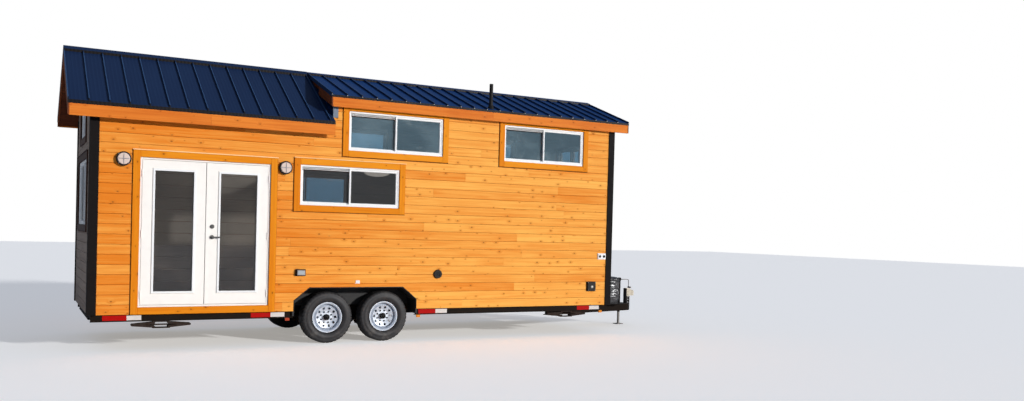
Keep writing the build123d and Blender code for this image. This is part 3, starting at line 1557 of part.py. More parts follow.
# Plumbing vent through the dormer roof
x_stack = x_left + vent_stack_x
y_stack = -(y_wall - vent_stack_inset)
with BuildPart() as vent_stack:
    with BuildSketch(Plane.XY.offset(dormer(y_dormer))):
        with Locations((x_stack, y_stack)):
            Circle(vent_stack_diameter / 2)
    extrude(amount=vent_stack_rise + dormer(y_stack) - dormer(y_dormer))
    with BuildSketch(Plane.XY.offset(dormer(y_dormer))):
        with Locations((x_stack, y_stack)):
            Circle(vent_boot_diameter / 2)
    with BuildSketch(Plane.XY.offset(dormer(y_stack) + vent_boot_height)):
        with Locations((x_stack, y_stack)):
            Circle(vent_stack_diameter / 2 + vent_boot_wall)
    loft()
    roof_layer = layer(-1, dormer, 0, y_dormer, 0, deck_below)
    wall_run(roof_layer, x_stack - vent_boot_diameter, x_stack + vent_boot_diameter, Mode.SUBTRACT)
vent_stack.part.label = "vent_stack"
export_step(vent_stack.part, "parts/vent_stack.step")

# Fittings on the front wall: left edge, bottom edge, width, height and how far each stands out
with BuildPart() as service_fittings:
    for left, bottom, width, height, proud in (outlet_cover, blank_plate, power_inlet, cable_plate):
        x_mid = x_left + left + width / 2
        with BuildSketch(wall_plane(-1)):
            with Locations((x_mid, bottom + height / 2)):
                Rectangle(width, height)
        extrude(amount=proud / 2)
        with BuildSketch(wall_plane(-1, proud / 2)):
            with Locations((x_mid, bottom + height / 2)):
                RectangleRounded(width - 2 * fitting_step, height - 2 * fitting_step, fitting_step)
        extrude(amount=proud / 2, taper=fitting_taper)
    # Louvred cap of the side vent
    with BuildSketch(wall_plane(-1)):
        with Locations((x_left + side_vent_x, side_vent_height)):
            Circle(side_vent_diameter / 2)
    extrude(amount=side_vent_proud, taper=fitting_taper)
    with BuildSketch(wall_plane(-1, side_vent_proud)):
        with Locations((x_left + side_vent_x, side_vent_height)):
            with GridLocations(0, vent_slot_pitch, 1, vent_slot_count):
                SlotOverall(side_vent_diameter / 2, vent_slot_pitch / 2)
    extrude(amount=-side_vent_proud / 2, mode=Mode.SUBTRACT)
    # Two round ports in the cable plate
    left, bottom, width, height, proud = cable_plate
    with BuildSketch(wall_plane(-1, proud)):
        with Locations((x_left + left + width / 2, bottom + height / 2)):
            with GridLocations(width / 2, 0, 2, 1):
                Circle(port_diameter / 2)
    extrude(amount=-proud / 2, mode=Mode.SUBTRACT)
service_fittings.part.label = "service_fittings"
export_step(service_fittings.part, "parts/service_fittings.step")

with BuildPart() as marker_lights:
    for side in (-1, 1):
        with BuildSketch(Plane.XY.offset(rail_bottom - marker_height)):
            for left in marker_places:
                with Locations((x_left + left, side * (y_deck - marker_depth / 2))):
                    Rectangle(marker_width, marker_depth)
        extrude(amount=marker_height)
marker_lights.part.label = "marker_lights"
export_step(marker_lights.part, "parts/marker_lights.step")

# Folded scissor jacks under the side rails, near the four corners
scissor_rise = (scissor_height - scissor_bracket - scissor_trunnion_diameter) / 2
z_screw = rail_bottom - scissor_height / 2
z_upper_pin = z_screw + scissor_rise
z_lower_pin = z_screw - scissor_rise
with BuildPart() as scissor_jacks:
    for side in (-1, 1):
        y_jack = side * (y_deck - rail_flange / 2)
        y_near = y_jack - scissor_width / 2
        for left in scissor_places:
            x = x_left + left
            for z_plate in (rail_bottom - scissor_bracket, rail_bottom - scissor_height):
                with BuildSketch(Plane.XY.offset(z_plate)):
                    with Locations((x, y_jack)):
                        Rectangle(scissor_plate, scissor_width)
                extrude(amount=scissor_bracket)
            for hand in (-1, 1):
                x_end = x + hand * (scissor_length - scissor_trunnion_diameter) / 2
                x_pin = x + hand * (scissor_plate / 2 - scissor_arm_width / 2)
                for z_pin in (z_upper_pin, z_lower_pin):
                    for y_arm in (y_near, y_jack + scissor_width / 2 - scissor_arm_thickness):
                        with BuildSketch(along(y_arm)):
                            centre = ((x_pin + x_end) / 2, (z_pin + z_screw) / 2)
                            SlotCenterPoint(centre, (x_end, z_screw), scissor_arm_width)
                        extrude(amount=-scissor_arm_thickness)
                    cross_bolt(x_pin, z_pin, y_jack, scissor_width, scissor_pin_diameter / 2)
                    with BuildSketch(along(y_near + scissor_arm_thickness)):
                        lug_end = rail_bottom if z_pin > z_screw else rail_bottom - scissor_height
                        with Locations((x_pin, (z_pin + lug_end) / 2)):
                            Rectangle(scissor_arm_width, abs(lug_end - z_pin))
                    extrude(amount=2 * scissor_arm_thickness - scissor_width)
                cross_bolt(x_end, z_screw, y_jack, scissor_width, scissor_trunnion_diameter / 2)
            with BuildSketch(across(x - scissor_length / 2)):
                with Locations((y_jack, z_screw)):
                    Circle(scissor_screw_diameter / 2)
            extrude(amount=scissor_length)
scissor_jacks.part.label = "scissor_jacks"
export_step(scissor_jacks.part, "parts/scissor_jacks.step")
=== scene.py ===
import itertools
import math
import random
from collections import namedtuple

import bmesh
import bpy
from mathutils import Matrix, Vector, noise


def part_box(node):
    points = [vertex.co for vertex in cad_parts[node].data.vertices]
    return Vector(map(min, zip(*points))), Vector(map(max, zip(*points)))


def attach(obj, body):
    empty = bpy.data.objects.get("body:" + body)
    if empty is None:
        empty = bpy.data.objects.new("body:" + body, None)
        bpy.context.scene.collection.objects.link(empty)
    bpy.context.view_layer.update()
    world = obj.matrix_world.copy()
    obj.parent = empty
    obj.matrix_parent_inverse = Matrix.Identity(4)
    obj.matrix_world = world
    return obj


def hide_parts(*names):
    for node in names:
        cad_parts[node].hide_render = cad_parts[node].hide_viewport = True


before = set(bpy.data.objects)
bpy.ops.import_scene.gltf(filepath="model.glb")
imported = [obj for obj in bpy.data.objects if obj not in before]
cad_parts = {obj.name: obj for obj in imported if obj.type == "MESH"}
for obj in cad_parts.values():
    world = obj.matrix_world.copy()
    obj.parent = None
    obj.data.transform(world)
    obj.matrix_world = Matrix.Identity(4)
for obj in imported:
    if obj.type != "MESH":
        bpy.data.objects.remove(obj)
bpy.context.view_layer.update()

# Body of the house, in metres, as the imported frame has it; places along it start at its left end wall
WALL_LENGTH = 8.22
WALL_WIDTH = 2.45
WALL_THICKNESS = 0.125
CLADDING_BOTTOM = 0.491
FLOOR_TOP = 0.587
LOFT_START = 3.385
LOFT_TOP = 2.76
LOFT_THICKNESS = 0.11
X_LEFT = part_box("left_end_wall")[0].x
X_RIGHT = X_LEFT + WALL_LENGTH
Y_WALL = WALL_WIDTH / 2
Y_INNER = Y_WALL - WALL_THICKNESS
LOFT_UNDERSIDE = LOFT_TOP - LOFT_THICKNESS

# Steep roof over the door's end, and the flatter dormer roof
APEX = 4.127
STEEP_EAVE = 3.256
DORMER_EAVE = 3.653
Y_STEEP = Y_WALL + 0.161
Y_DORMER = Y_WALL + 0.096
ROOF_BUILD_UP = 0.096
REAR_OVERHANG = 0.3
FRONT_OVERHANG = 0.27
STEEP_REACH = 3.199
DORMER_START = 3.153
CHEEK = 3.285
DRIP = 0.004
SHEET = 0.006
FASCIA_THICKNESS = 0.02
STEEP_FASCIA = {-1: 0.198, 1: 0.118}
DORMER_FASCIA = 0.173
STEEP_SLOPE = (APEX - STEEP_EAVE) / Y_STEEP
DORMER_SLOPE = (APEX - DORMER_EAVE) / Y_DORMER

# Door as left, right, bottom and top; side windows as left and sill; end windows as sill, width and height
DOOR = (0.592, 2.318, 0.587, 2.587)
ARCH_LEFT, ARCH_RIGHT, ARCH_SHOULDER, ARCH_TOP, ARCH_CHAMFER = 2.69, 4.595, 0.643, 0.827, 0.224
ARCH_SLANT = ARCH_CHAMFER / (ARCH_TOP - ARCH_SHOULDER)
WINDOW_WIDTH = 1.53
WINDOW_HEIGHT = 0.585
SIDE_WINDOWS = ((2.741, 2.027), (3.452, 2.86), (6.075, 2.86))
END_WINDOWS = ((1.665, 1.53, 0.9), (2.89, 0.9, 0.4))
CASING = 0.092
CASING_PROUD = 0.03
BOARD_PROUD = 0.012
EXPOSURE = 0.1333
EDGE_EASE = 0.003
BUTT_JOINT = 0.0015

# Running gear and tongue
Y_RAIL = Y_WALL - 0.025
Y_WELL = 0.895
TIP = WALL_LENGTH + 1.45
WHEEL_PLACES = ("front_left", "front_right", "back_left", "back_right")


def roof_height(slope, y, below=0.0):
    """Height of a roof's metal at y, or of a layer under it."""
    return APEX - abs(y) * slope - below * math.hypot(1, slope)


# Shader nodes

class Nodes:
    """A node tree whose nodes are added one line each."""

    def __init__(self, tree):
        self.tree = tree

    def add(self, kind, settings=None, **inputs):
        node = self.tree.nodes.new("ShaderNode" + kind)
        for key, value in (settings or {}).items():
            setattr(node, key, value)
        self.fill(node, inputs)
        return node

    def fill(self, node, inputs):
        for key, value in inputs.items():
            self.set(node.inputs[key.replace("_", " ")], value)

    def set(self, socket, value):
        if isinstance(value, bpy.types.NodeSocket):
            self.tree.links.new(value, socket)
        elif isinstance(value, bpy.types.Node):
            self.tree.links.new(value.outputs[0], socket)
        else:
            socket.default_value = value

    def place(self):
        return self.add("TexCoord").outputs["Object"]

    def split(self, vector):
        return self.add("SeparateXYZ", Vector=vector).outputs

    def math(self, operation, a, b=0.0, clamp=False):
        node = self.add("Math", {"operation": operation, "use_clamp": clamp})
        self.set(node.inputs[0], a)
        self.set(node.inputs[1], b)
        return node.outputs[0]

    def times(self, a, b):
        return self.math("MULTIPLY", a, b)

    def plus(self, a, b, clamp=False):
        return self.math("ADD", a, b, clamp)

    def mix(self, factor, a, b):
        node = self.add("Mix", {"data_type": "RGBA"})
        self.set(node.inputs[0], factor)
        for socket, value in ((node.inputs[6], a), (node.inputs[7], b)):
            self.set(socket, (*value, 1) if isinstance(value, tuple) else value)
        return node.outputs[2]

    def range(self, value, low, high, to_low=0.0, to_high=1.0, kind="SMOOTHSTEP"):
        node = self.add("MapRange", {"interpolation_type": kind})
        for socket, number in zip(node.inputs, (value, low, high, to_low, to_high)):
            self.set(socket, number)
        return node.outputs[0]

    def noise(self, vector, scale, detail=4.0, roughness=0.55, distortion=0.0):
        return self.add("TexNoise", Vector=vector, Scale=scale, Detail=detail, Roughness=roughness,
                        Distortion=distortion).outputs["Fac"]

    def stretch(self, vector, scale):
        return self.add("Mapping", Vector=vector, Scale=scale).outputs[0]


class Shader(Nodes):
    """A material built round one Principled shader."""

    def __init__(self, name, color, roughness=0.5, metallic=0.0, specular=0.5):
        self.material = bpy.data.materials.new(name)
        self.material.use_nodes = True
        super().__init__(self.material.node_tree)
        self.surface = self.tree.nodes["Principled BSDF"]
        self.put(Base_Color=(*color, 1), Roughness=roughness, Metallic=metallic, Specular_IOR_Level=specular)

    def put(self, **inputs):
        self.fill(self.surface, inputs)

    def bump(self, height, strength, distance):
        self.put(Normal=self.add("Bump", Strength=strength, Distance=distance, Height=height))


# Axes of a carried-over node along the grain, across its boards and through them
GRAIN = {"along": (0, 1, 2), "upright": (0, 2, 1), "end": (1, 2, 0)}


def timber(name, pale, deep, knot, roughness=0.45, knots=1.0, solid=None, plank=0.14, left_shade=0.0):
    """Sawn boards: long grain, knots with swirls round them, and a tone for each board.

    solid names the grain of a carried-over node, which has no attributes. The last argument paints light
    and shade along the house: it deepens the boards near the left end wall and pales them a little
    towards the right."""
    m = Shader(name, pale, roughness, specular=0.06)
    part = m.split(m.place())
    if solid:
        along, across, through = (part[axis] for axis in GRAIN[solid])
        grain = m.add("CombineXYZ", X=along, Y=across, Z=through).outputs[0]
        row = m.math("DIVIDE", across, plank)
        tone = m.add("TexWhiteNoise", {"noise_dimensions": "1D"}, W=m.math("FLOOR", row)).outputs["Value"]
        seam = m.math("ABSOLUTE", m.math("SUBTRACT", m.math("FRACT", row), 0.5))
    else:
        grain = m.add("Attribute", {"attribute_name": "grain"}).outputs["Vector"]
        tone = m.add("Attribute", {"attribute_name": "tone"}).outputs["Fac"]
    voronoi = m.add("TexVoronoi", {"voronoi_dimensions": "2D"}, Vector=m.stretch(grain, (4.6, 7.5, 1.0)),
                    Scale=1.0, Randomness=0.95).outputs
    chance = m.add("SeparateColor", Color=voronoi["Color"]).outputs
    present = m.range(chance[0], 0.5, 0.54)
    size = m.range(chance[1], 0.0, 1.0, 0.03, 0.082)
    distance = m.math("DIVIDE", voronoi["Distance"], size)
    near = m.times(m.range(distance, 4.0, 0.5), present)
    core = m.times(m.range(distance, 1.0, 0.55), present)
    swirl = m.times(near, 0.05)
    bent = m.add("VectorMath", {"operation": "ADD"})
    m.set(bent.inputs[0], grain)
    m.set(bent.inputs[1], m.add("CombineXYZ", X=swirl, Y=swirl, Z=0.0))
    streaks = m.noise(m.stretch(bent.outputs[0], (1.1, 34.0, 34.0)), 1.0, 5.0, 0.6, 0.25)
    fine = m.noise(m.stretch(bent.outputs[0], (7.0, 260.0, 260.0)), 1.0, 3.0, 0.6)
    clouds = m.noise(m.stretch(grain, (0.8, 2.5, 2.5)), 1.0, 2.0)
    depth = m.times(m.range(streaks, 0.32, 0.68), 0.42)
    depth = m.plus(depth, m.times(tone, 0.46))
    depth = m.plus(depth, m.times(m.range(clouds, 0.35, 0.7), 0.26))
    # Painted shade near the left end wall, and painted light a little towards the right
    if left_shade:
        left_shaded = m.range(part[0], X_LEFT, X_LEFT + 0.7 * WALL_LENGTH, left_shade, -left_shade * 0.4)
        depth = m.plus(depth, left_shaded)
    depth = m.plus(depth, m.times(m.math("SUBTRACT", fine, 0.5), 0.34), clamp=True)
    color = m.mix(depth, pale, deep)
    color = m.mix(m.times(near, 0.45 * knots), color, tuple(d * 0.8 for d in deep))
    color = m.mix(m.times(core, 0.8 * knots), color, knot)
    relief = m.plus(fine, m.times(streaks, 1.5))
    if solid:
        joint = m.range(seam, 0.5 - 0.004 / plank, 0.5 - 0.001 / plank)
        color = m.mix(m.times(joint, 0.85), color, tuple(k * 0.5 for k in knot))
        relief = m.math("SUBTRACT", relief, m.times(joint, 3.0))
    m.put(Base_Color=color, Roughness=m.range(fine, 0.3, 0.7, roughness - 0.07, roughness + 0.1))
    m.bump(relief, 0.25, 0.0008)
    return m.material


def painted(name, color, roughness, specular=0.5, wear=0.12, bump=0.15, scale=9.0, metallic=0.0):
    """Paint or plastic with soft unevenness, faint dust and an orange-peel surface."""
    m = Shader(name, color, roughness, metallic, specular)
    place = m.place()
    clouds = m.noise(place, scale, 5.0, 0.6)
    dull = tuple(c * (1 - wear) + 0.25 * wear * (0.4 + sum(color) / 3) for c in color)
    m.put(Base_Color=m.mix(m.range(clouds, 0.38, 0.72), color, dull),
          Roughness=m.range(clouds, 0.3, 0.7, roughness, min(1.0, roughness + 0.12)))
    m.bump(m.noise(place, 160.0, 3.0, 0.6), bump, 0.0006)
    return m.material


def seamed_metal():
    """Navy roof paint with the fine ribs of its pans, black on the edges that stand upright, and painted
    highlights and sky reflection.
    """
    m = Shader("roof metal", (0.008, 0.024, 0.075), 0.46, specular=0.08)
    place = m.place()
    part = m.split(place)
    off_ridge = m.math("ABSOLUTE", part[1])
    normal = m.split(m.add("NewGeometry").outputs["True Normal"])
    ribs = m.math("SINE", m.times(part[0], 2 * math.pi / 0.049))
    clouds = m.noise(m.stretch(place, (1.0, 0.5, 0.5)), 2.2, 4.0)
    past_steep = m.range(part[0], X_LEFT + STEEP_REACH, X_LEFT + STEEP_REACH + 0.002)
    on_dormer = m.math("MAXIMUM", m.range(normal[2], 0.88, 0.91), past_steep)
    slope = m.plus(m.times(on_dormer, DORMER_SLOPE - STEEP_SLOPE), STEEP_SLOPE)
    rise = m.plus(part[2], m.times(off_ridge, slope))
    # Painted highlight on the seam tops, clear of the ridge cap
    seam_highlight = m.times(m.range(rise, APEX + 0.012, APEX + 0.02, 0.0, 0.8), m.range(off_ridge, 0.14, 0.16))
    # The dormer's pans are painted brighter blue than the steep roof's: painted sky reflection
    bright = m.mix(on_dormer, (0.016, 0.036, 0.09), (0.005, 0.054, 0.19))
    color = m.mix(on_dormer, (0.0085, 0.0205, 0.06), (0.002, 0.03, 0.125))
    color = m.mix(m.range(clouds, 0.35, 0.75, 0.0, 0.35), color, bright)
    # Painted highlight along the rib crests
    color = m.mix(m.range(ribs, 0.2, 1.0, 0.0, 0.25), color, bright)
    color = m.mix(seam_highlight, color, (0.038, 0.082, 0.175))
    # Seam sides and rake edges get a set navy, painted light so that they read navy in shade
    color = m.mix(m.range(m.math("ABSOLUTE", normal[0]), 0.6, 0.8, 0.0, 0.8), color, (0.01, 0.026, 0.072))
    color = m.mix(m.range(m.math("ABSOLUTE", normal[1]), 0.75, 0.85), color, (0.01, 0.008, 0.008))
    m.put(Base_Color=color, Roughness=m.range(clouds, 0.3, 0.7, 0.4, 0.52))
    m.bump(ribs, 0.3, 0.0012)
    return m.material


def rubber():
    """Tyre rubber: near black, dusty on the tread and in the lower sidewall."""
    m = Shader("tyre rubber", (0.026, 0.025, 0.025), 0.55, specular=0.3)
    place = m.place()
    low = m.range(m.split(place)[2], 0.3, 0.0, 0.25, 0.9)
    dust = m.times(m.range(m.noise(place, 9.0, 6.0, 0.65), 0.42, 0.78), low)
    m.put(Base_Color=m.mix(dust, (0.024, 0.022, 0.022), (0.105, 0.092, 0.08)))
    m.bump(m.noise(place, 240.0, 3.0), 0.25, 0.0005)
    return m.material


def vinyl():
    """Glossy black vinyl with fine creases, painted lighter on their crests and darker in their hollows."""
    m = Shader("black vinyl", (0.036, 0.032, 0.032), 0.36)
    place = m.place()
    folds = m.noise(m.stretch(place, (5.0, 5.0, 9.0)), 1.0, 3.0, 0.5, 1.2)
    leather = m.noise(place, 420.0, 2.0)
    # Painted highlight on the raised folds and painted shade in their hollows
    m.put(Base_Color=m.mix(m.range(folds, 0.35, 0.7), (0.012, 0.011, 0.011), (0.06, 0.055, 0.054)),
          Roughness=m.range(leather, 0.3, 0.7, 0.26, 0.36))
    m.bump(m.plus(m.times(folds, 3.0), m.times(leather, 0.08)), 0.3, 0.006)
    return m.material


def glass(name, tint, clear):
    """Window glass: part clear, with painted sky reflection that is paler in the upper windows and pale blue
    in the end walls.
    """
    m = Shader(name, tint, 0.04, specular=1.0)
    place = m.place()
    part = m.split(place)
    pane_patches = m.range(m.noise(m.stretch(place, (0.9, 0.9, 1.6)), 1.0, 3.0, 0.6, 0.8), 0.35, 0.7)
    wisps = m.noise(m.stretch(place, (2.2, 2.2, 3.6)), 1.0, 5.0, 0.6, 2.5)
    lower = m.mix(pane_patches, tuple(c * 0.6 for c in tint), tuple(c * 1.5 for c in tint))
    # Upper panes: painted sky reflection, with painted cloud wisps
    upper = m.mix(pane_patches, (0.062, 0.125, 0.16), (0.15, 0.24, 0.28))
    upper = m.mix(m.range(wisps, 0.56, 0.74, 0.0, 0.55), upper, (0.34, 0.43, 0.45))
    side = m.mix(m.range(part[2], 2.7, 2.8), lower, upper)
    # End-wall panes: painted pale blue sky reflection
    at_end = m.range(m.math("ABSOLUTE", part[0]), -X_LEFT - 0.2, -X_LEFT - 0.1)
    m.put(Base_Color=m.mix(at_end, side, (0.34, 0.46, 0.56)), Alpha=1 - clear, IOR=1.9)
    m.bump(m.noise(place, 1.4, 1.0), 0.05, 0.02)
    m.material.blend_method = "BLEND"
    return m.material


def ceiling_lens():
    """Opal glass of the ceiling lights, faintly lit."""
    m = Shader("ceiling lens", (0.8, 0.76, 0.7), 0.3, specular=0.3)
    m.put(Base_Color=m.mix(m.noise(m.place(), 6.0, 2.0), (0.82, 0.78, 0.72), (0.74, 0.7, 0.64)),
          Emission_Color=(1.0, 0.93, 0.82, 1.0), Emission_Strength=0.8)
    return m.material


def zones(name, base, places, roughness=0.4):
    """Paint whose colour changes along the house: places are (start, end, lowest, colour)."""
    m = Shader(name, base, roughness, specular=0.12)
    place = m.place()
    part = m.split(place)
    color = base
    for start, end, lowest, shade in places:
        inside = m.times(m.math("GREATER_THAN", part[0], X_LEFT + start),
                         m.math("LESS_THAN", part[0], X_LEFT + end))
        color = m.mix(m.times(inside, m.math("GREATER_THAN", part[2], lowest)), color, shade)
    speckle = m.range(m.noise(place, 60.0, 4.0), 0.45, 0.8, 0.0, 0.06)
    m.put(Base_Color=m.mix(speckle, color, (0.2, 0.19, 0.18)))
    m.bump(m.noise(place, 300.0, 2.0), 0.15, 0.0005)
    return m.material


# Timbers as pale, deep and knot colours
# The siding and casings take painted shade towards the left end wall
cedar = timber("cedar siding", (0.92, 0.44, 0.086), (0.72, 0.196, 0.015), (0.22, 0.06, 0.01), 0.6, left_shade=0.28)
cedar_trim = timber("cedar casing", (0.8, 0.285, 0.012), (0.66, 0.175, 0.004), (0.14, 0.035, 0.004), 0.6,
                    left_shade=0.1)
cedar_red = timber("cedar fascia", (0.8, 0.245, 0.032), (0.58, 0.125, 0.012), (0.14, 0.03, 0.006), 0.55, 0.7)
# The rake boards are the fascia's cedar made much darker: painted shade
cedar_rake_shade = timber("cedar rake painted shade", (0.26, 0.072, 0.022), (0.15, 0.036, 0.012), (0.06, 0.012, 0.005), 0.6, 0.5)
# Soffit, roof deck and ridge beam: cedar made near black as painted shade
cedar_soffit_shade = timber("cedar soffit painted shade", (0.17, 0.045, 0.015), (0.09, 0.02, 0.008), (0.04, 0.01, 0.005), 0.55,
                    solid="along")
cedar_pale = timber("cedar drip cap", (0.97, 0.7, 0.38), (0.88, 0.54, 0.22), (0.3, 0.1, 0.03), knots=0.2)
# End-wall casings and drip caps: cedar made near black as painted shade
end_casing_shade = timber("end casing painted shade", (0.07, 0.026, 0.014), (0.04, 0.015, 0.009), (0.02, 0.008, 0.005), 0.5, 0.4)
GREY_TONES = ((0.37, 0.282, 0.222), (0.25, 0.186, 0.146), (0.09, 0.08, 0.075))
grey_board = timber("grey siding", *GREY_TONES, 0.6, 0.3)
grey_cheek = timber("grey cheek boards", *GREY_TONES, 0.6, 0.3, solid="end")
lining = timber("inner lining", (0.6, 0.54, 0.46), (0.45, 0.4, 0.34), (0.2, 0.16, 0.13), 0.6, 0.35)
# Wall core: dark cedar behind the boards, painted shade that shows in the gaps between them
wall_core_shade = timber("wall core painted shade", (0.26, 0.09, 0.022), (0.18, 0.058, 0.014), (0.04, 0.016, 0.01), 0.7, 0.3,
                   solid="upright")
floor_wood = timber("floor boards", (0.22, 0.135, 0.075), (0.12, 0.07, 0.038), (0.05, 0.025, 0.015), 0.4,
                    0.5)
deck_wood = timber("deck boards", (0.16, 0.075, 0.045), (0.085, 0.038, 0.024), (0.04, 0.02, 0.015), 0.5, 0.5,
                   solid="along", plank=0.11)

# Paints, metals and plastics as colour, roughness, specular, wear, bump and scale
black_trim = painted("black trim", (0.0085, 0.0065, 0.006), 0.55, 0.05, 0.02)
black_steel = painted("black steel", (0.0115, 0.007, 0.0045), 0.6, 0.05, 0.03, 0.35, 6.0)
well_plate = painted("wheel well plate", (0.016, 0.015, 0.014), 0.45, 0.25, 0.05, 0.5, 20.0)
rust_steel = painted("rusted steel", (0.026, 0.015, 0.01), 0.7, 0.1, 0.14, 0.6, 14.0)
white_vinyl = painted("white vinyl", (0.84, 0.83, 0.8), 0.42, 0.3, 0.05, 0.04)
white_paint = painted("white door paint", (0.88, 0.83, 0.76), 0.45, 0.2, 0.05, 0.08)
# Rake edge metal: pale blue as painted sky reflection
edge_metal_reflection = painted("roof edge metal painted sky reflection", (0.13, 0.215, 0.32), 0.4, 0.2, 0.04)
flashing = painted("flashing", (0.12, 0.15, 0.2), 0.35, 0.3, 0.15)
jack_paint = painted("jack steel", (0.26, 0.24, 0.22), 0.5, 0.5, 0.3, 0.4, metallic=0.4)
# Dark strips beside the casings and under the window ribs: painted shadow
painted_shadow = painted("painted shadow", (0.06, 0.022, 0.01), 0.7, 0.1, 0.1)
nickel = painted("dark nickel", (0.16, 0.15, 0.14), 0.25, 0.5, 0.15, 0.05, metallic=1.0)
# Pale metal of the inlet flap and its screws: a painted glint
zinc = painted("zinc plate painted glint", (0.62, 0.58, 0.5), 0.42, 0.5, 0.25, 0.3, metallic=0.6)
black_plastic = painted("black plastic", (0.012, 0.01, 0.009), 0.45, 0.15, 0.04)
grey_plastic = painted("grey plastic", (0.36, 0.38, 0.38), 0.3, 0.5, 0.1)
lens_white = painted("opal lens", (0.66, 0.52, 0.44), 0.3, 0.3, 0.03, 0.02)
lamp_guard = painted("lamp guard", (0.36, 0.33, 0.34), 0.45, 0.5, 0.1)
wheel_silver = painted("wheel silver", (0.64, 0.68, 0.74), 0.32, 0.5, 0.1, 0.05, 14.0, metallic=0.35)
tape_red = painted("reflective tape red", (0.4, 0.002, 0.001), 0.4, 0.06, 0.02, 0.3)
tape_white = painted("reflective tape white", (0.66, 0.6, 0.55), 0.35, 0.2, 0.1, 0.3)
tyre_rubber = rubber()


# Geometry

def new_object(name, data):
    """Put an object with this data into the scene."""
    made = bpy.data.objects.new(name, data)
    bpy.context.scene.collection.objects.link(made)
    return made


CORNERS = list(itertools.product((-1, 1), repeat=3))
AROUND = ((-1, -1), (1, -1), (1, 1), (-1, 1))


def at(axes, s, t, d):
    """The point that lies s along a surface, t across it and d out of it."""
    origin, along, across, out = axes
    return origin + along * s + across * t + out * d


def polar(radius, angle):
    """The two parts of a radius at an angle."""
    return radius * math.cos(angle), radius * math.sin(angle)


def box_corner(order, signs):
    """A corner of a box, from the signs that it has on the axes in order."""
    return tuple(sign for axis, sign in sorted(zip(order, signs)))


def grid_faces(rows, columns, close_rows=False, close_columns=False):
    """Faces between the rows of a grid of points, closed on itself where asked."""
    faces = []
    for i in range(rows if close_rows else rows - 1):
        for k in range(columns if close_columns else columns - 1):
            here, there, beside = i * columns, (i + 1) % rows * columns, (k + 1) % columns
            faces.append([here + k, here + beside, there + beside, there + k])
    return faces


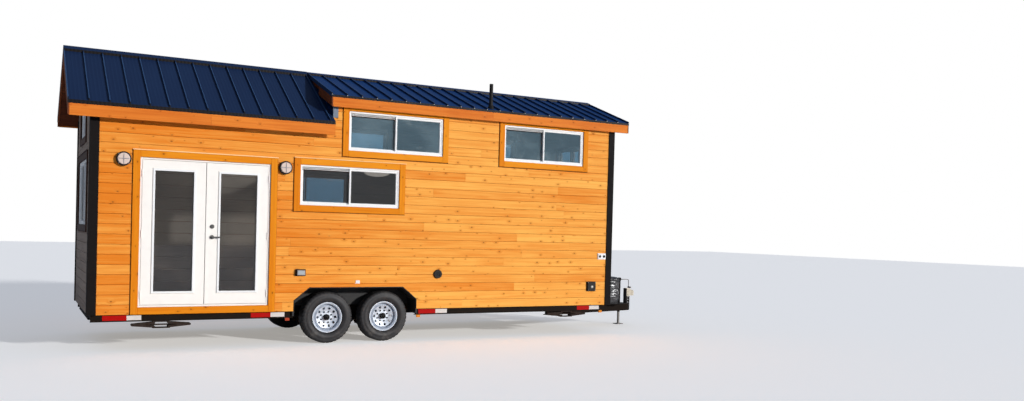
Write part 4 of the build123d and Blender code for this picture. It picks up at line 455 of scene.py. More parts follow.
class Solids:
    """Many small solids in one mesh, each with its own grain direction and tone."""

    def __init__(self, seed):
        self.points, self.faces, self.grain, self.tone, self.smooth = [], [], [], [], []
        self.random = random.Random(seed)

    def new_board(self):
        self.shift = Vector([self.random.uniform(0, 50) for _ in range(3)])
        self.shade = self.random.random()

    def add(self, points, faces, grain, smooth=False):
        base = len(self.points)
        self.points.extend(points)
        self.grain.extend(Vector(g) + self.shift for g in grain)
        self.tone.extend([self.shade] * len(points))
        self.faces.extend([[base + i for i in face] for face in faces])
        self.smooth.extend([smooth] * len(faces))

    def add_places(self, axes, places, faces, turned=False):
        """Add a solid whose points are given on a surface's axes; turned runs its grain across."""
        grain = [(t, s, d) if turned else (s, t, d) for s, t, d in places]
        self.add([at(axes, *place) for place in places], faces, grain)

    def prism(self, axes, outline, start, end, keep=False):
        """A bar along a surface with an (across, out) outline; its ends may slant across."""
        if not keep:
            self.new_board()
        places = [(limit(t) if callable(limit) else limit, t, d)
                  for limit in (start, end) for t, d in outline]
        n = len(outline)
        caps = [list(range(n))[::-1], list(range(n, 2 * n))]
        self.add_places(axes, places, grid_faces(2, n, close_columns=True) + caps)

    def block(self, axes, s, t, d, chamfer=0.002, turned=False):
        """A box given by its ranges on a surface's axes, with chamfered edges."""
        self.new_board()
        centre = [(r[0] + r[1]) / 2 for r in (s, t, d)]
        half = [(r[1] - r[0]) / 2 for r in (s, t, d)]
        cut = min(chamfer, *(h * 0.9 for h in half))
        places, index, faces = [], {}, []
        for corner in CORNERS:
            for k in range(3):
                index[corner, k] = len(places)
                places.append([centre[j] + corner[j] * (half[j] - (0 if j == k else cut)) for j in range(3)])
        for k in range(3):
            u, v = [j for j in range(3) if j != k]
            for sign in (-1, 1):
                faces.append([index[box_corner((k, u, v), (sign, a, b)), k] for a, b in AROUND])
            for a, b in itertools.product((-1, 1), repeat=2):
                low, high = (box_corner((k, u, v), (sign, a, b)) for sign in (-1, 1))
                faces.append([index[low, u], index[high, u], index[high, v], index[low, v]])
        faces += [[index[corner, k] for k in range(3)] for corner in CORNERS]
        self.add_places(axes, places, faces, turned)

    def surround(self, axes, rect, width, depth, chamfer, ease=0.0, turned=False):
        """Four boards round a rectangle; the rails are eased back from the uprights and their faces."""
        s0, s1, t0, t1 = rect
        for s in ((s0 - width, s0), (s1, s1 + width)):
            self.block(axes, s, (t0 - width, t1 + width), depth, chamfer, turned)
        for t in ((t0 - width, t0), (t1, t1 + width)):
            self.block(axes, (s0 + ease, s1 - ease), t, (depth[0], depth[1] - ease), chamfer)

    def ring(self, axes, s, t, profile):
        """A mitred frame round a rectangle: profile is (inward, out) points, closed."""
        self.new_board()
        corners = ((s[0], t[0], 1, 1), (s[1], t[0], -1, 1), (s[1], t[1], -1, -1), (s[0], t[1], 1, -1))
        places = [(cs + ds * w, ct + dt * w, d) for cs, ct, ds, dt in corners for w, d in profile]
        self.add_places(axes, places, grid_faces(len(corners), len(profile), True, True))

    def turn(self, axes, profile, steps, ripple=None, smooth=True):
        """A body of revolution about the out axis: profile is (radius, out) points."""
        self.new_board()
        points, grain = [], []
        for i in range(steps):
            angle = 2 * math.pi * i / steps
            for k, (r, d) in enumerate(profile):
                if ripple:
                    r, d = ripple(k, i, r, d)
                points.append(at(axes, *polar(r, angle), d))
                grain.append((angle * 0.3, r, d))
        n = len(profile)
        faces = grid_faces(steps, n, close_rows=True)
        for k in (0, n - 1):
            if profile[k][0] > 1e-6 and profile[0] != profile[-1]:
                faces.append([i * n + k for i in range(steps)])
        self.add(points, faces, grain, smooth)

    def tube(self, path, radius, steps):
        """A round bar that follows a list of points."""
        self.new_board()
        points, grain = [], []
        side = (path[1] - path[0]).normalized().orthogonal()
        travelled = 0.0
        for i, place in enumerate(path):
            ahead = (path[min(i + 1, len(path) - 1)] - path[max(i - 1, 0)]).normalized()
            side = (side - ahead * side.dot(ahead)).normalized()
            up = ahead.cross(side)
            travelled += (place - path[max(i - 1, 0)]).length
            for k in range(steps):
                angle = 2 * math.pi * k / steps
                points.append(at((place, side, up, ahead), *polar(radius, angle), 0))
                grain.append((travelled, radius * angle, 0))
        faces = grid_faces(len(path), steps, close_columns=True)
        last = (len(path) - 1) * steps
        self.add(points, faces + [list(range(steps))[::-1], list(range(last, last + steps))], grain, True)

    def finish(self, name, material, slot, replaces=(), body="house"):
        """Turn the solids into one object that rides on a body."""
        mesh = bpy.data.meshes.new(name)
        mesh.from_pydata([tuple(p) for p in self.points], [], self.faces)
        grain = mesh.attributes.new("grain", "FLOAT_VECTOR", "POINT")
        grain.data.foreach_set("vector", [x for g in self.grain for x in g])
        tone = mesh.attributes.new("tone", "FLOAT", "POINT")
        tone.data.foreach_set("value", self.tone)
        mesh.polygons.foreach_set("use_smooth", self.smooth)
        work = bmesh.new()
        work.from_mesh(mesh)
        bmesh.ops.recalc_face_normals(work, faces=work.faces)
        work.to_mesh(mesh)
        work.free()
        mesh.materials.append(material)
        piece = new_object(name, mesh)
        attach(piece, body)
        if replaces:
            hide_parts(*replaces)
        return piece


# Surfaces, as an origin and the directions along, across and out
X, Y, Z = Vector((1, 0, 0)), Vector((0, 1, 0)), Vector((0, 0, 1))
FRONT = (Vector((X_LEFT, -Y_WALL, 0)), X, Z, -Y)
BACK = (Vector((X_LEFT, Y_WALL, 0)), X, Z, Y)
LEFT_END = (Vector((X_LEFT, 0, 0)), Y, Z, -X)
RIGHT_END = (Vector((X_RIGHT, 0, 0)), Y, Z, X)
INNER_FRONT = (Vector((X_LEFT, -Y_INNER, 0)), X, Z, Y)
INNER_BACK = (Vector((X_LEFT, Y_INNER, 0)), X, Z, -Y)
INNER_LEFT = (Vector((X_LEFT + WALL_THICKNESS, 0, 0)), Y, Z, X)
INNER_RIGHT = (Vector((X_RIGHT - WALL_THICKNESS, 0, 0)), Y, Z, -X)
FLOOR_PLANE = (Vector((X_LEFT, 0, FLOOR_TOP)), X, Y, Z)
LOFT_PLANE = (Vector((X_LEFT, 0, LOFT_TOP)), X, Y, Z)
LOFT_UNDER = (Vector((X_LEFT, 0, LOFT_UNDERSIDE)), X, Y, -Z)


def on_front(s, t):
    """Axes whose origin is a place on the front wall."""
    return (at(FRONT, s, t, 0), X, Z, -Y)


# Boards

# The two ends of a wall's boards at a height, the heights at which they jump, and whether they slant
Reach = namedtuple("Reach", "ends breaks slanted", defaults=((), False))


def arch_sides(t):
    """The two sides of the wheel arch at height t."""
    lift = max(0.0, t - ARCH_SHOULDER) * ARCH_SLANT
    return (ARCH_LEFT + lift, ARCH_RIGHT - lift)


def board_outline(bottom, top, low, high, thickness, bevel):
    """Outline of the band from low to high of a board with bevelled edges at bottom and top."""
    points = [(low, -0.002)]
    if low <= bottom + 1e-6:
        points += [(low, thickness - bevel), (low + bevel, thickness)]
    else:
        points.append((low, thickness))
    if high >= top - 1e-6:
        points += [(high - bevel, thickness), (high, thickness - bevel)]
    else:
        points.append((high, thickness))
    return points + [(high, -0.002)]


def board_end(value, reach, hand, arched, middle):
    """The end of a board: along the arch's shoulder, along the gable's slope, or square."""
    if arched and ARCH_SHOULDER < middle < ARCH_TOP:
        for side in (0, 1):
            if abs(value - arch_sides(middle)[side]) < 1e-6:
                return lambda t: arch_sides(t)[side]
    limit = (max, min)[hand]
    if reach.slanted:
        return lambda t: limit(value, reach.ends(t)[hand])
    return limit(value, reach.ends(middle)[hand])


def free_spans(start, stop, holes):
    """What is left of a board from start to stop beside its holes."""
    spans = [(start, stop)]
    for h0, h1 in holes:
        left = [(a, min(b, h0)) for a, b in spans if a < h0]
        right = [(max(a, h1), b) for a, b in spans if b > h1]
        spans = sorted(left + right)
    return spans


SHORTEST_BOARD = 0.6
FIRST_BOARD_SHARE = 0.35


def clad(name, axes, material, slot, reach, openings, bottom, top, seed, arched=False,
         exposure=EXPOSURE, thickness=BOARD_PROUD, bevel=0.004, gap=0.003, lengths=(2.4, 4.9)):
    """Boards over a surface, one row above the other, beside its openings."""
    solids = Solids(seed)
    t = bottom
    while t < top - 0.01:
        board_top = min(t + exposure - gap, top)
        s = min(reach.ends(t)[0], reach.ends(board_top)[0])
        far = max(reach.ends(t)[1], reach.ends(board_top)[1])
        first = True
        while s < far - 1e-4:
            length = solids.random.uniform(*lengths)
            if first:
                length *= solids.random.uniform(FIRST_BOARD_SHARE, 1.0)
            first = False
            stop = far if far - (s + length) < SHORTEST_BOARD else s + length
            solids.new_board()
            edges = [edge for s0, s1, *rows in openings if s0 < stop and s1 > s for edge in rows]
            edges += [ARCH_SHOULDER, ARCH_TOP] if arched else []
            levels = sorted({t, board_top} | {v for v in (*edges, *reach.breaks) if t < v < board_top})
            for low, high in zip(levels, levels[1:]):
                middle = (low + high) / 2
                holes = [(s0, s1) for s0, s1, t0, t1 in openings if t0 < middle < t1]
                if arched and middle < ARCH_TOP:
                    holes.append(arch_sides(middle))
                outline = board_outline(t, board_top, low, high, thickness, bevel)
                for a, b in free_spans(s, stop, holes):
                    start = board_end(a, reach, 0, arched, middle)
                    end = board_end(b, reach, 1, arched, middle)
                    if callable(start) or callable(end) or end > start:
                        solids.prism(axes, outline, start, end, keep=True)
            s = stop + BUTT_JOINT
        t += exposure
    solids.finish(name, material, slot)


STEEP_LIMIT = roof_height(STEEP_SLOPE, Y_WALL + BOARD_PROUD, ROOF_BUILD_UP) - 0.004
FLASHING_BOTTOM = STEEP_LIMIT + 0.092
FLASHING_START = STEEP_REACH + 0.002
SIDE_TOP = roof_height(DORMER_SLOPE, Y_WALL + BOARD_PROUD, ROOF_BUILD_UP) - 0.002


def side_ends(t):
    """Ends of a side wall's boards: only the dormer part rises past the steep eave."""
    if t > FLASHING_BOTTOM:
        return (CHEEK, WALL_LENGTH)
    return (FLASHING_START if t > STEEP_LIMIT else 0.0, WALL_LENGTH)


def gable_reach(slope, y_limit):
    """Ends of an end wall's boards under a roof."""
    peak = roof_height(slope, 0, ROOF_BUILD_UP) - 0.003

    def ends(t):
        half = min(y_limit, max(0.0, (peak - t) / slope))
        return (-half, half)

    return Reach(ends, (peak - slope * Y_WALL,), slanted=True)


side_reach = Reach(side_ends, (STEEP_LIMIT, FLASHING_BOTTOM))
side_windows = [(left, left + WINDOW_WIDTH, sill, sill + WINDOW_HEIGHT) for left, sill in SIDE_WINDOWS]
end_windows = [(-width / 2, width / 2, sill, sill + height) for sill, width, height in END_WINDOWS]
door_hole = (DOOR[0], DOOR[1], 0.0, DOOR[3])
clad("front_boards", FRONT, cedar, "cedar_siding", side_reach, side_windows + [door_hole],
     CLADDING_BOTTOM, SIDE_TOP, 11, arched=True)
clad("back_boards", BACK, cedar, "cedar_siding", side_reach, side_windows, CLADDING_BOTTOM, SIDE_TOP, 12,
     arched=True)
for name, axes, slope, seed in (("left_end_boards", LEFT_END, STEEP_SLOPE, 21),
                                ("right_end_boards", RIGHT_END, DORMER_SLOPE, 22)):
    clad(name, axes, grey_board, "grey_siding", gable_reach(slope, Y_WALL), end_windows, CLADDING_BOTTOM,
         roof_height(slope, 0, ROOF_BUILD_UP) - 0.02, seed, thickness=0.014)

# Windows, casings and door trim
FRAME_FACE = 0.03
SASH_FACE = 0.026
MEETING = 0.05
DRIP_CAP = 0.012
CAPPED_BELOW = 3.4
FRAME_PROFILE = ((0.0, -0.07), (0.0, 0.007), (0.003, 0.01), (0.02, 0.01), (0.026, 0.007),
                 (FRAME_FACE, 0.001), (FRAME_FACE, -0.07))
SASH_PROFILE = ((0.0, -0.032), (0.0, -0.002), (0.002, 0.0), (0.018, 0.0), (SASH_FACE, -0.007),
                (SASH_FACE, -0.032))
SHADOW_STRIP_DEPTH = (0.004, BOARD_PROUD + 0.004)


def window(axes, rect, casings, drips, capped):
    """A sliding window with its casing boards: the left sash is set back, the right one forward."""
    s0, s1, t0, t1 = rect
    frames.ring(axes, (s0, s1), (t0, t1), FRAME_PROFILE)
    inner = (s0 + FRAME_FACE, s1 - FRAME_FACE)
    wide = (inner[1] - inner[0] + MEETING) / 2
    rows = (t0 + FRAME_FACE, t1 - FRAME_FACE)
    for a, b, face in ((inner[0], inner[0] + wide, -0.034), (inner[1] - wide, inner[1], 0.006)):
        frames.ring(axes, (a, b), rows, [(w, d + face) for w, d in SASH_PROFILE])
    # Raised head track over the set-back sash, with two ribs and a strip of painted shadow under each, and
    # the sill's low weather rib
    for drop in (0.01, 0.027):
        rib = rows[1] - drop
        frames.block(axes, (inner[0], inner[1] - wide), (rib - 0.007, rib), (-0.03, -0.01), 0.0015)
        shadow_strips.block(axes, (inner[0], inner[1] - wide), (rib - 0.015, rib - 0.0075), (-0.034, -0.022), 0.001)
    frames.block(axes, inner, (rows[0] - 0.004, rows[0] + 0.006), (-0.03, 0.008), 0.002)
    casings.surround(axes, rect, CASING, (0.0, CASING_PROUD), EDGE_EASE, ease=0.001, turned=True)
    left, right, bottom, top = s0 - CASING, s1 + CASING, t0 - CASING, t1 + CASING
    lowest = bottom - 0.008
    # Dark strips at the casing's sides and below it are painted shadow, wider on the left
    for s, t in (((left - 0.01, left), (lowest, top)), ((right, right + 0.005), (lowest, top)),
                 ((left, right), (lowest, bottom))):
        shadow_strips.block(axes, s, t, SHADOW_STRIP_DEPTH, 0.001)
    if capped:
        drips.block(axes, (left - 0.004, right + 0.012), (top, top + DRIP_CAP), (0.0, CASING_PROUD + 0.01))


frames, casings, end_casings, drips, end_drips, shadow_strips = (Solids(seed) for seed in range(31, 37))
for axes in (FRONT, BACK):
    for rect in side_windows:
        window(axes, rect, casings, drips, capped=rect[3] < CAPPED_BELOW)
for axes in (LEFT_END, RIGHT_END):
    for rect in end_windows:
        window(axes, rect, end_casings, end_drips, capped=True)

# Door casing, with the board under the sill
door_left, door_right, door_top = DOOR[0] - CASING, DOOR[1] + CASING, DOOR[3] + CASING
for s in ((door_left, DOOR[0]), (DOOR[1], door_right)):
    casings.block(FRONT, s, (CLADDING_BOTTOM, door_top), (0.0, CASING_PROUD), EDGE_EASE, turned=True)
for t, set_back in (((DOOR[3], door_top), 0.001), ((CLADDING_BOTTOM, DOOR[2] - 0.002), 0.003)):
    casings.block(FRONT, (DOOR[0] + 0.001, DOOR[1] - 0.001), t, (0.0, CASING_PROUD - set_back), EDGE_EASE)
# Dark strips beside the door casing are painted shadow, wider on the left
for s in ((door_left - 0.01, door_left), (door_right, door_right + 0.005)):
    shadow_strips.block(FRONT, s, (CLADDING_BOTTOM + 0.001, door_top), SHADOW_STRIP_DEPTH, 0.001)
drips.block(FRONT, (door_left - 0.004, door_right + 0.006), (door_top, door_top + DRIP_CAP),
            (0.0, CASING_PROUD + 0.01))
frames.finish("window_frame_set", white_vinyl, "white_frame", ("window_frames",))
shadow_strips.finish("painted_shadow_strips", painted_shadow, "lamp_black")
casings.finish("casing_boards", cedar_trim, "cedar_trim", ("casings",))
drips.finish("drip_caps", cedar_pale, "cedar_trim")
# The end walls' casings and drip caps carry painted shade
end_casings.finish("end_casing_boards", end_casing_shade, "cedar_trim")
end_drips.finish("end_drip_caps", end_casing_shade, "cedar_trim")

# Inner lining of wide boards, and the finished floors
LINING_PROUD = 0.012
LINING_START = WALL_THICKNESS + LINING_PROUD
LINING_STOP = WALL_LENGTH - WALL_THICKNESS - LINING_PROUD
LINING_BOTTOM = FLOOR_TOP + 0.018
CHEEK_THICKNESS = 0.11
BEAM_HALF = 0.021
BEAM_DEPTH = 0.242
STEEP_CEILING = roof_height(STEEP_SLOPE, Y_INNER, ROOF_BUILD_UP) - 0.004


def inner_ends(t):
    """Ends of a side wall's lining: only the dormer part rises past the steep ceiling."""
    return (CHEEK + CHEEK_THICKNESS if t > STEEP_CEILING else LINING_START, LINING_STOP)


lining_look = dict(exposure=0.19, thickness=LINING_PROUD, bevel=0.005, gap=0.006, lengths=(2.4, 3.7))
floor_look = dict(exposure=0.1222, thickness=0.016, bevel=0.0015, gap=0.0012, lengths=(0.9, 2.2))
inner_reach = Reach(inner_ends, (STEEP_CEILING,))
floor_reach = Reach(lambda t: (WALL_THICKNESS, WALL_LENGTH - WALL_THICKNESS))
loft_reach = Reach(lambda t: (LOFT_START, LINING_STOP))
inner_holes = side_windows + [(LOFT_START, WALL_LENGTH, LOFT_UNDERSIDE, LOFT_TOP),
                              (ARCH_LEFT, ARCH_RIGHT, 0.0, ARCH_TOP)]
for name, axes, holes, seed in (("back_lining", INNER_BACK, inner_holes, 41),
                                ("front_lining", INNER_FRONT, inner_holes + [door_hole], 42)):
    clad(name, axes, lining, "ceiling_boards", inner_reach, holes, LINING_BOTTOM,
         roof_height(DORMER_SLOPE, Y_INNER, ROOF_BUILD_UP) - 0.004, seed, **lining_look)
beam_hole = (-BEAM_HALF, BEAM_HALF, APEX - BEAM_DEPTH, APEX)
for name, axes, slope, holes, seed in (
        ("left_lining", INNER_LEFT, STEEP_SLOPE, [beam_hole], 43),
        ("right_lining", INNER_RIGHT, DORMER_SLOPE, [beam_hole, (-2, 2, LOFT_UNDERSIDE, LOFT_TOP)], 44)):
    clad(name, axes, lining, "ceiling_boards", gable_reach(slope, Y_INNER - 0.001), end_windows + holes,
         LINING_BOTTOM, roof_height(slope, 0, ROOF_BUILD_UP) - 0.02, seed, **lining_look)
well_holes = [(ARCH_LEFT - 0.01, ARCH_RIGHT + 0.01, *sorted((side * 2.0, side * (Y_WELL - 0.01))))
              for side in (-1, 1)]
clad("floor_boards", FLOOR_PLANE, floor_wood, "floor_boards", floor_reach, well_holes, -Y_INNER, Y_INNER, 45,
     **floor_look)
for name, axes, material, slot, seed, look in (
        ("loft_boards", LOFT_PLANE, floor_wood, "floor_boards", 46, floor_look),
        ("loft_ceiling", LOFT_UNDER, lining, "ceiling_boards", 47, lining_look)):
    clad(name, axes, material, slot, loft_reach, [], -Y_INNER + LINING_PROUD, Y_INNER - LINING_PROUD, seed,
         **look)

# Fascia boards in two lengths, and rake boards along the slopes with a metal edge whose pale blue is painted
# sky reflection
FASCIA_INSET = DRIP + FASCIA_THICKNESS
RIDGE_GAP = 0.0005
RAKE_METAL_DEPTH = 0.022
METAL_THICKNESS = 0.002
CHEEK_RAKE_START = DORMER_FASCIA / (STEEP_SLOPE - DORMER_SLOPE) + 0.02
fascias, rakes, rake_metal = Solids(51), Solids(53), Solids(54)
for side, axes in ((-1, FRONT), (1, BACK)):
    for slope, y_edge, depth, start, end in (
            (STEEP_SLOPE, Y_STEEP, STEEP_FASCIA[side], -REAR_OVERHANG + FASCIA_INSET, STEEP_REACH),
            (DORMER_SLOPE, Y_DORMER, DORMER_FASCIA, DORMER_START + FASCIA_INSET,
             WALL_LENGTH + FRONT_OVERHANG - FASCIA_INSET)):
        face = y_edge - DRIP - Y_WALL
        back = face - FASCIA_THICKNESS
        bottom = roof_height(slope, y_edge) - depth
        top = roof_height(slope, y_edge - DRIP, SHEET)
        back_top = roof_height(slope, y_edge - FASCIA_INSET, SHEET)
        outline = [(bottom, back), (bottom, face - EDGE_EASE), (bottom + EDGE_EASE, face), (top, face),
                   (back_top, back)]
        middle = (start + end) / 2
        fascias.prism(axes, outline, start, middle - BUTT_JOINT)
        fascias.prism(axes, outline, middle, end)


def rake(solids, x_face, out, side, slope, y_edge, depth, y_from, thickness):
    """A rake board along a roof's slope, with plumb cuts at the ridge and at the eave."""
    cos = 1 / math.hypot(1, slope)
    sin = slope * cos
    axes = (Vector((x_face, 0, APEX)), Vector((0, side * cos, -sin)), Vector((0, side * sin, cos)), X * out)
    low = -depth * cos
    ease = min(EDGE_EASE, thickness / 2)
    outline = [(low, -thickness), (low, -ease), (low + ease, 0.0), (-SHEET, 0.0), (-SHEET, -thickness)]
    solids.prism(axes, outline, lambda t: (y_from - t * sin) / cos,
                 lambda t: (y_edge - DRIP - t * sin) / cos)


for side in (-1, 1):
    for x_face, out, slope, y_edge, depth, y_from in (
            (X_LEFT - REAR_OVERHANG + DRIP, -1, STEEP_SLOPE, Y_STEEP, STEEP_FASCIA[side], RIDGE_GAP),
            (X_RIGHT + FRONT_OVERHANG - DRIP, 1, DORMER_SLOPE, Y_DORMER, DORMER_FASCIA, RIDGE_GAP),
            (X_LEFT + DORMER_START + DRIP, -1, DORMER_SLOPE, Y_DORMER, DORMER_FASCIA, CHEEK_RAKE_START)):
        rake(rakes, x_face, out, side, slope, y_edge, depth, y_from, FASCIA_THICKNESS)
        rake(rake_metal, x_face + out * METAL_THICKNESS, out, side, slope, y_edge, RAKE_METAL_DEPTH, y_from,
             METAL_THICKNESS)
fascias.finish("fascia_boards", cedar_red, "cedar_trim", ("eave_fascias",))
rakes.finish("rake_planks", cedar_rake_shade, "cedar_trim", ("rake_boards",))
rake_metal.finish("rake_metal", edge_metal_reflection, "roof_metal")

# Flashing over the wall's corner between the steep roof's end and the dormer's cheek
flashings = Solids(55)
FLASHING_TOP = SIDE_TOP - 0.004
for axes in (FRONT, BACK):
    flashings.block(axes, (FLASHING_START, CHEEK - BUTT_JOINT), (FLASHING_BOTTOM + 0.002, FLASHING_TOP),
                    (0.0005, 0.016))
    flashings.block(axes, (FLASHING_START, FLASHING_START + 0.012), (FLASHING_BOTTOM - 0.02, FLASHING_TOP),
                    (0.016, 0.026))
flashings.finish("corner_flashings", flashing, "roof_metal")

# Small clips that hold the dormer's eave metal
CLIP_COUNT = 24
CLIP_HALF = 0.006
clips = Solids(52)
clip_pitch = (WALL_LENGTH + FRONT_OVERHANG - DORMER_START - 2 * CLIP_HALF) / (CLIP_COUNT - 1)
for axes in (FRONT, BACK):
    for k in range(CLIP_COUNT):
        s = DORMER_START + CLIP_HALF + k * clip_pitch
        clips.block(axes, (s - CLIP_HALF, s + CLIP_HALF), (DORMER_EAVE - 0.004, DORMER_EAVE + 0.005),
                    (Y_DORMER - Y_WALL - 0.006, Y_DORMER - Y_WALL + 0.002), 0.001)
clips.finish("eave_clips", grey_plastic, "jack_steel")

# Reflective tape on the side rails, as the start of the red, the joint and the end of the white
TAPES = ((0.168, 0.465, 0.647), (2.089, 2.367, 2.567), (4.651, 4.942, 5.141), (7.589, 7.84, 8.04))
RED_ROW = (0.412, 0.48)
WHITE_ROW = (0.414, 0.478)
RAIL_OUT = Y_RAIL - Y_WALL
red_tape, white_tape = Solids(61), Solids(62)
for axes in (FRONT, BACK):
    for start, joint, end in TAPES:
        red_tape.block(axes, (start, joint), RED_ROW, (RAIL_OUT, RAIL_OUT + 0.0012), 0.0004)
        white_tape.block(axes, (joint, end), WHITE_ROW, (RAIL_OUT, RAIL_OUT + 0.0011), 0.0004)
red_tape.finish("red_reflective_tape", tape_red, "marker_lens")
white_tape.finish("white_reflective_tape", tape_white, "lamp_lens")

# Glazing beads and gaskets of the doors
for hand in ("left", "right"):
    low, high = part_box("door_glass_" + hand)
    face = -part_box("door_leaf_" + hand)[0].y - Y_WALL
    for prefix, material, slot, seed, width, inset, proud in (
            ("door_beads_", white_vinyl, "white_frame", 71, 0.026, 0.004, 0.006),
            ("door_gaskets_", black_plastic, "lamp_black", 72, 0.006, -0.002, 0.002)):
        solids = Solids(seed)
        rect = (low.x - X_LEFT + inset, high.x - X_LEFT - inset, low.z + inset, high.z - inset)
        solids.surround(FRONT, rect, width, (face - 0.012, face + proud), 0.0015)
        solids.finish(prefix + hand, material, slot, body="door_leaf_" + hand)

# Steel edge round the wheel arches
arch_edges = Solids(73)
arch_path = [(ARCH_LEFT, CLADDING_BOTTOM + 0.004), (ARCH_LEFT, ARCH_SHOULDER),
             (ARCH_LEFT + ARCH_CHAMFER, ARCH_TOP), (ARCH_RIGHT - ARCH_CHAMFER, ARCH_TOP),
             (ARCH_RIGHT, ARCH_SHOULDER), (ARCH_RIGHT, CLADDING_BOTTOM + 0.004)]
for axes in (FRONT, BACK):
    arch_edges.tube([at(axes, s, t, 0.01) for s, t in arch_path], 0.008, 10)
arch_edges.finish("arch_edges", well_plate, "black_steel")

# Guard bars and screws of the wall lamps
LAMPS = (0.382, 2.519)
LAMP_HEIGHT = 2.55
GUARD_REACH = 0.08
GUARD_FOOT = 0.06
GUARD_CROWN = 0.0215
GUARD_STEPS = 12
SCREW_CIRCLE = 0.086
SCREW = [(0.0001, 0.069), (0.004, 0.069), (0.0046, 0.066), (0.0046, 0.06)]
guards = Solids(63)
for s in LAMPS:
    for sideways, upwards in ((GUARD_REACH, 0), (0, GUARD_REACH)):
        path = []
        for k in range(GUARD_STEPS + 1):
            f = 2 * k / GUARD_STEPS - 1
            rise = GUARD_FOOT + GUARD_CROWN * math.sqrt(max(0.0, 1 - f ** 4))
            path.append(at(FRONT, s + f * sideways, LAMP_HEIGHT + f * upwards, rise))
        guards.tube(path, 0.0045, 8)
    for degrees in (45, 135, 225, 315):
        angle = math.radians(degrees)
        across, up = polar(SCREW_CIRCLE, angle)
        guards.turn(on_front(s + across, LAMP_HEIGHT + up), SCREW, 12)
guards.finish("lamp_guards", lamp_guard, "fitting_plastic")

# Details of the fittings low on the front wall: outlet bubble, cable ports, and inlet flap with its screws,
# pale as a painted glint
PORT = [(0.0001, 0.036), (0.013, 0.036), (0.016, 0.031), (0.0215, 0.031), (0.0235, 0.034), (0.0235, 0.014)]
INLET_SCREW = [(0.0001, 0.0545), (0.0045, 0.054), (0.0055, 0.052), (0.0055, 0.03)]
INLET_FLAP = [(0.0001, 0.058), (0.012, 0.057), (0.016, 0.053), (0.024, 0.051), (0.026, 0.04)]
bubble, ports, flap = Solids(65), Solids(66), Solids(67)
bubble.block(FRONT, (2.712, 2.83), (1.014, 1.086), (0.06, 0.0735), 0.006)
bubble.block(FRONT, (2.722, 2.82), (1.024, 1.076), (0.0735, 0.0765), 0.003)
for s in (7.9985, 8.0835):
    ports.turn(on_front(s, 1.33), PORT, 24)
for s, t in itertools.product((7.762, 7.906), (0.75, 0.879)):
    flap.turn(on_front(s, t), INLET_SCREW, 10)
flap.turn(on_front(7.838, 0.806), INLET_FLAP, 20)
bubble.finish("outlet_bubble", grey_plastic, "fitting_plastic")
ports.finish("cable_ports", black_plastic, "lamp_black")
flap.finish("inlet_flap_glint", zinc, "jack_steel")

# Round ceiling lights under the loft
CEILING_LIGHT = [(0.0001, 0.072), (0.08, 0.067), (0.15, 0.052), (0.2, 0.026), (0.212, 0.0)]
lights = Solids(64)
for s in (4.37, 6.6):
    lights.turn((at(LOFT_UNDER, s, 0, LINING_PROUD), X, Y, -Z), CEILING_LIGHT, 48)
lights.finish("ceiling_lights", ceiling_lens(), "lamp_lens")

# Tyres, hub caps and lug nuts
TYRE_RADIUS = 0.381
TREAD_STEPS = 156
GROOVE_DEPTH = 0.008
SLOT_DEPTH = 0.007
SIPE_DEPTH = 0.005
LUG_COUNT = 8
LUG_CIRCLE = 0.0825
VALVE_OFFSET = 0.172
HUB_CAP = [(0.0001, 0.0915), (0.018, 0.0915), (0.02, 0.09), (0.031, 0.09), (0.0385, 0.0855),
           (0.0445, 0.078), (0.0445, 0.0372), (0.05, 0.0372), (0.05, 0.03)]
LUG_NUT = [(0.0001, 0.059), (0.0075, 0.059), (0.011, 0.056), (0.0118, 0.0372), (0.016, 0.0372),
           (0.016, 0.035)]


def tyre_profile():
    """Section of the tyre as (radius, out) points: from bead to tread, mirrored and closed."""
    half = [(0.207, 0.081), (0.231, 0.0875), (0.236, 0.0965)]
    for k in range(1, 8):
        f = k / 8
        half.append((0.236 + f * 0.105, 0.0965 + 0.0205 * math.sin(math.pi * (f * 0.95)) + 0.004 * f))
    # Two raised rings on the sidewall, then the shoulder lugs and two grooves in the tread
    for k in (4, 8):
        half[k] = (half[k][0], half[k][1] + 0.0012)
    half += [(0.346, 0.115), (0.356, 0.112), (0.3705, 0.1025), (0.378, 0.093), (TYRE_RADIUS, 0.084)]
    for edge in (0.06, 0.022):
        half += [(TYRE_RADIUS, edge + 0.006), (TYRE_RADIUS - GROOVE_DEPTH, edge + 0.004),
                 (TYRE_RADIUS - GROOVE_DEPTH, edge - 0.004), (TYRE_RADIUS, edge - 0.006)]
    return half + [(r, -d) for r, d in reversed(half)] + [half[0]]


profile = tyre_profile()
shoulder = {k for k, (r, d) in enumerate(profile) if abs(d) > 0.082 and r > 0.35}
rib = {k for k, (r, d) in enumerate(profile) if abs(d) < 0.07 and r == TYRE_RADIUS}


def tread(k, i, r, d):
    """Sink the slots between the shoulder lugs and the sipes across the ribs."""
    if k in shoulder and i % 4 == 0:
        return r - SLOT_DEPTH, d * 0.985
    if k in rib and i % 6 == 3:
        return r - SIPE_DEPTH, d
    return r, d


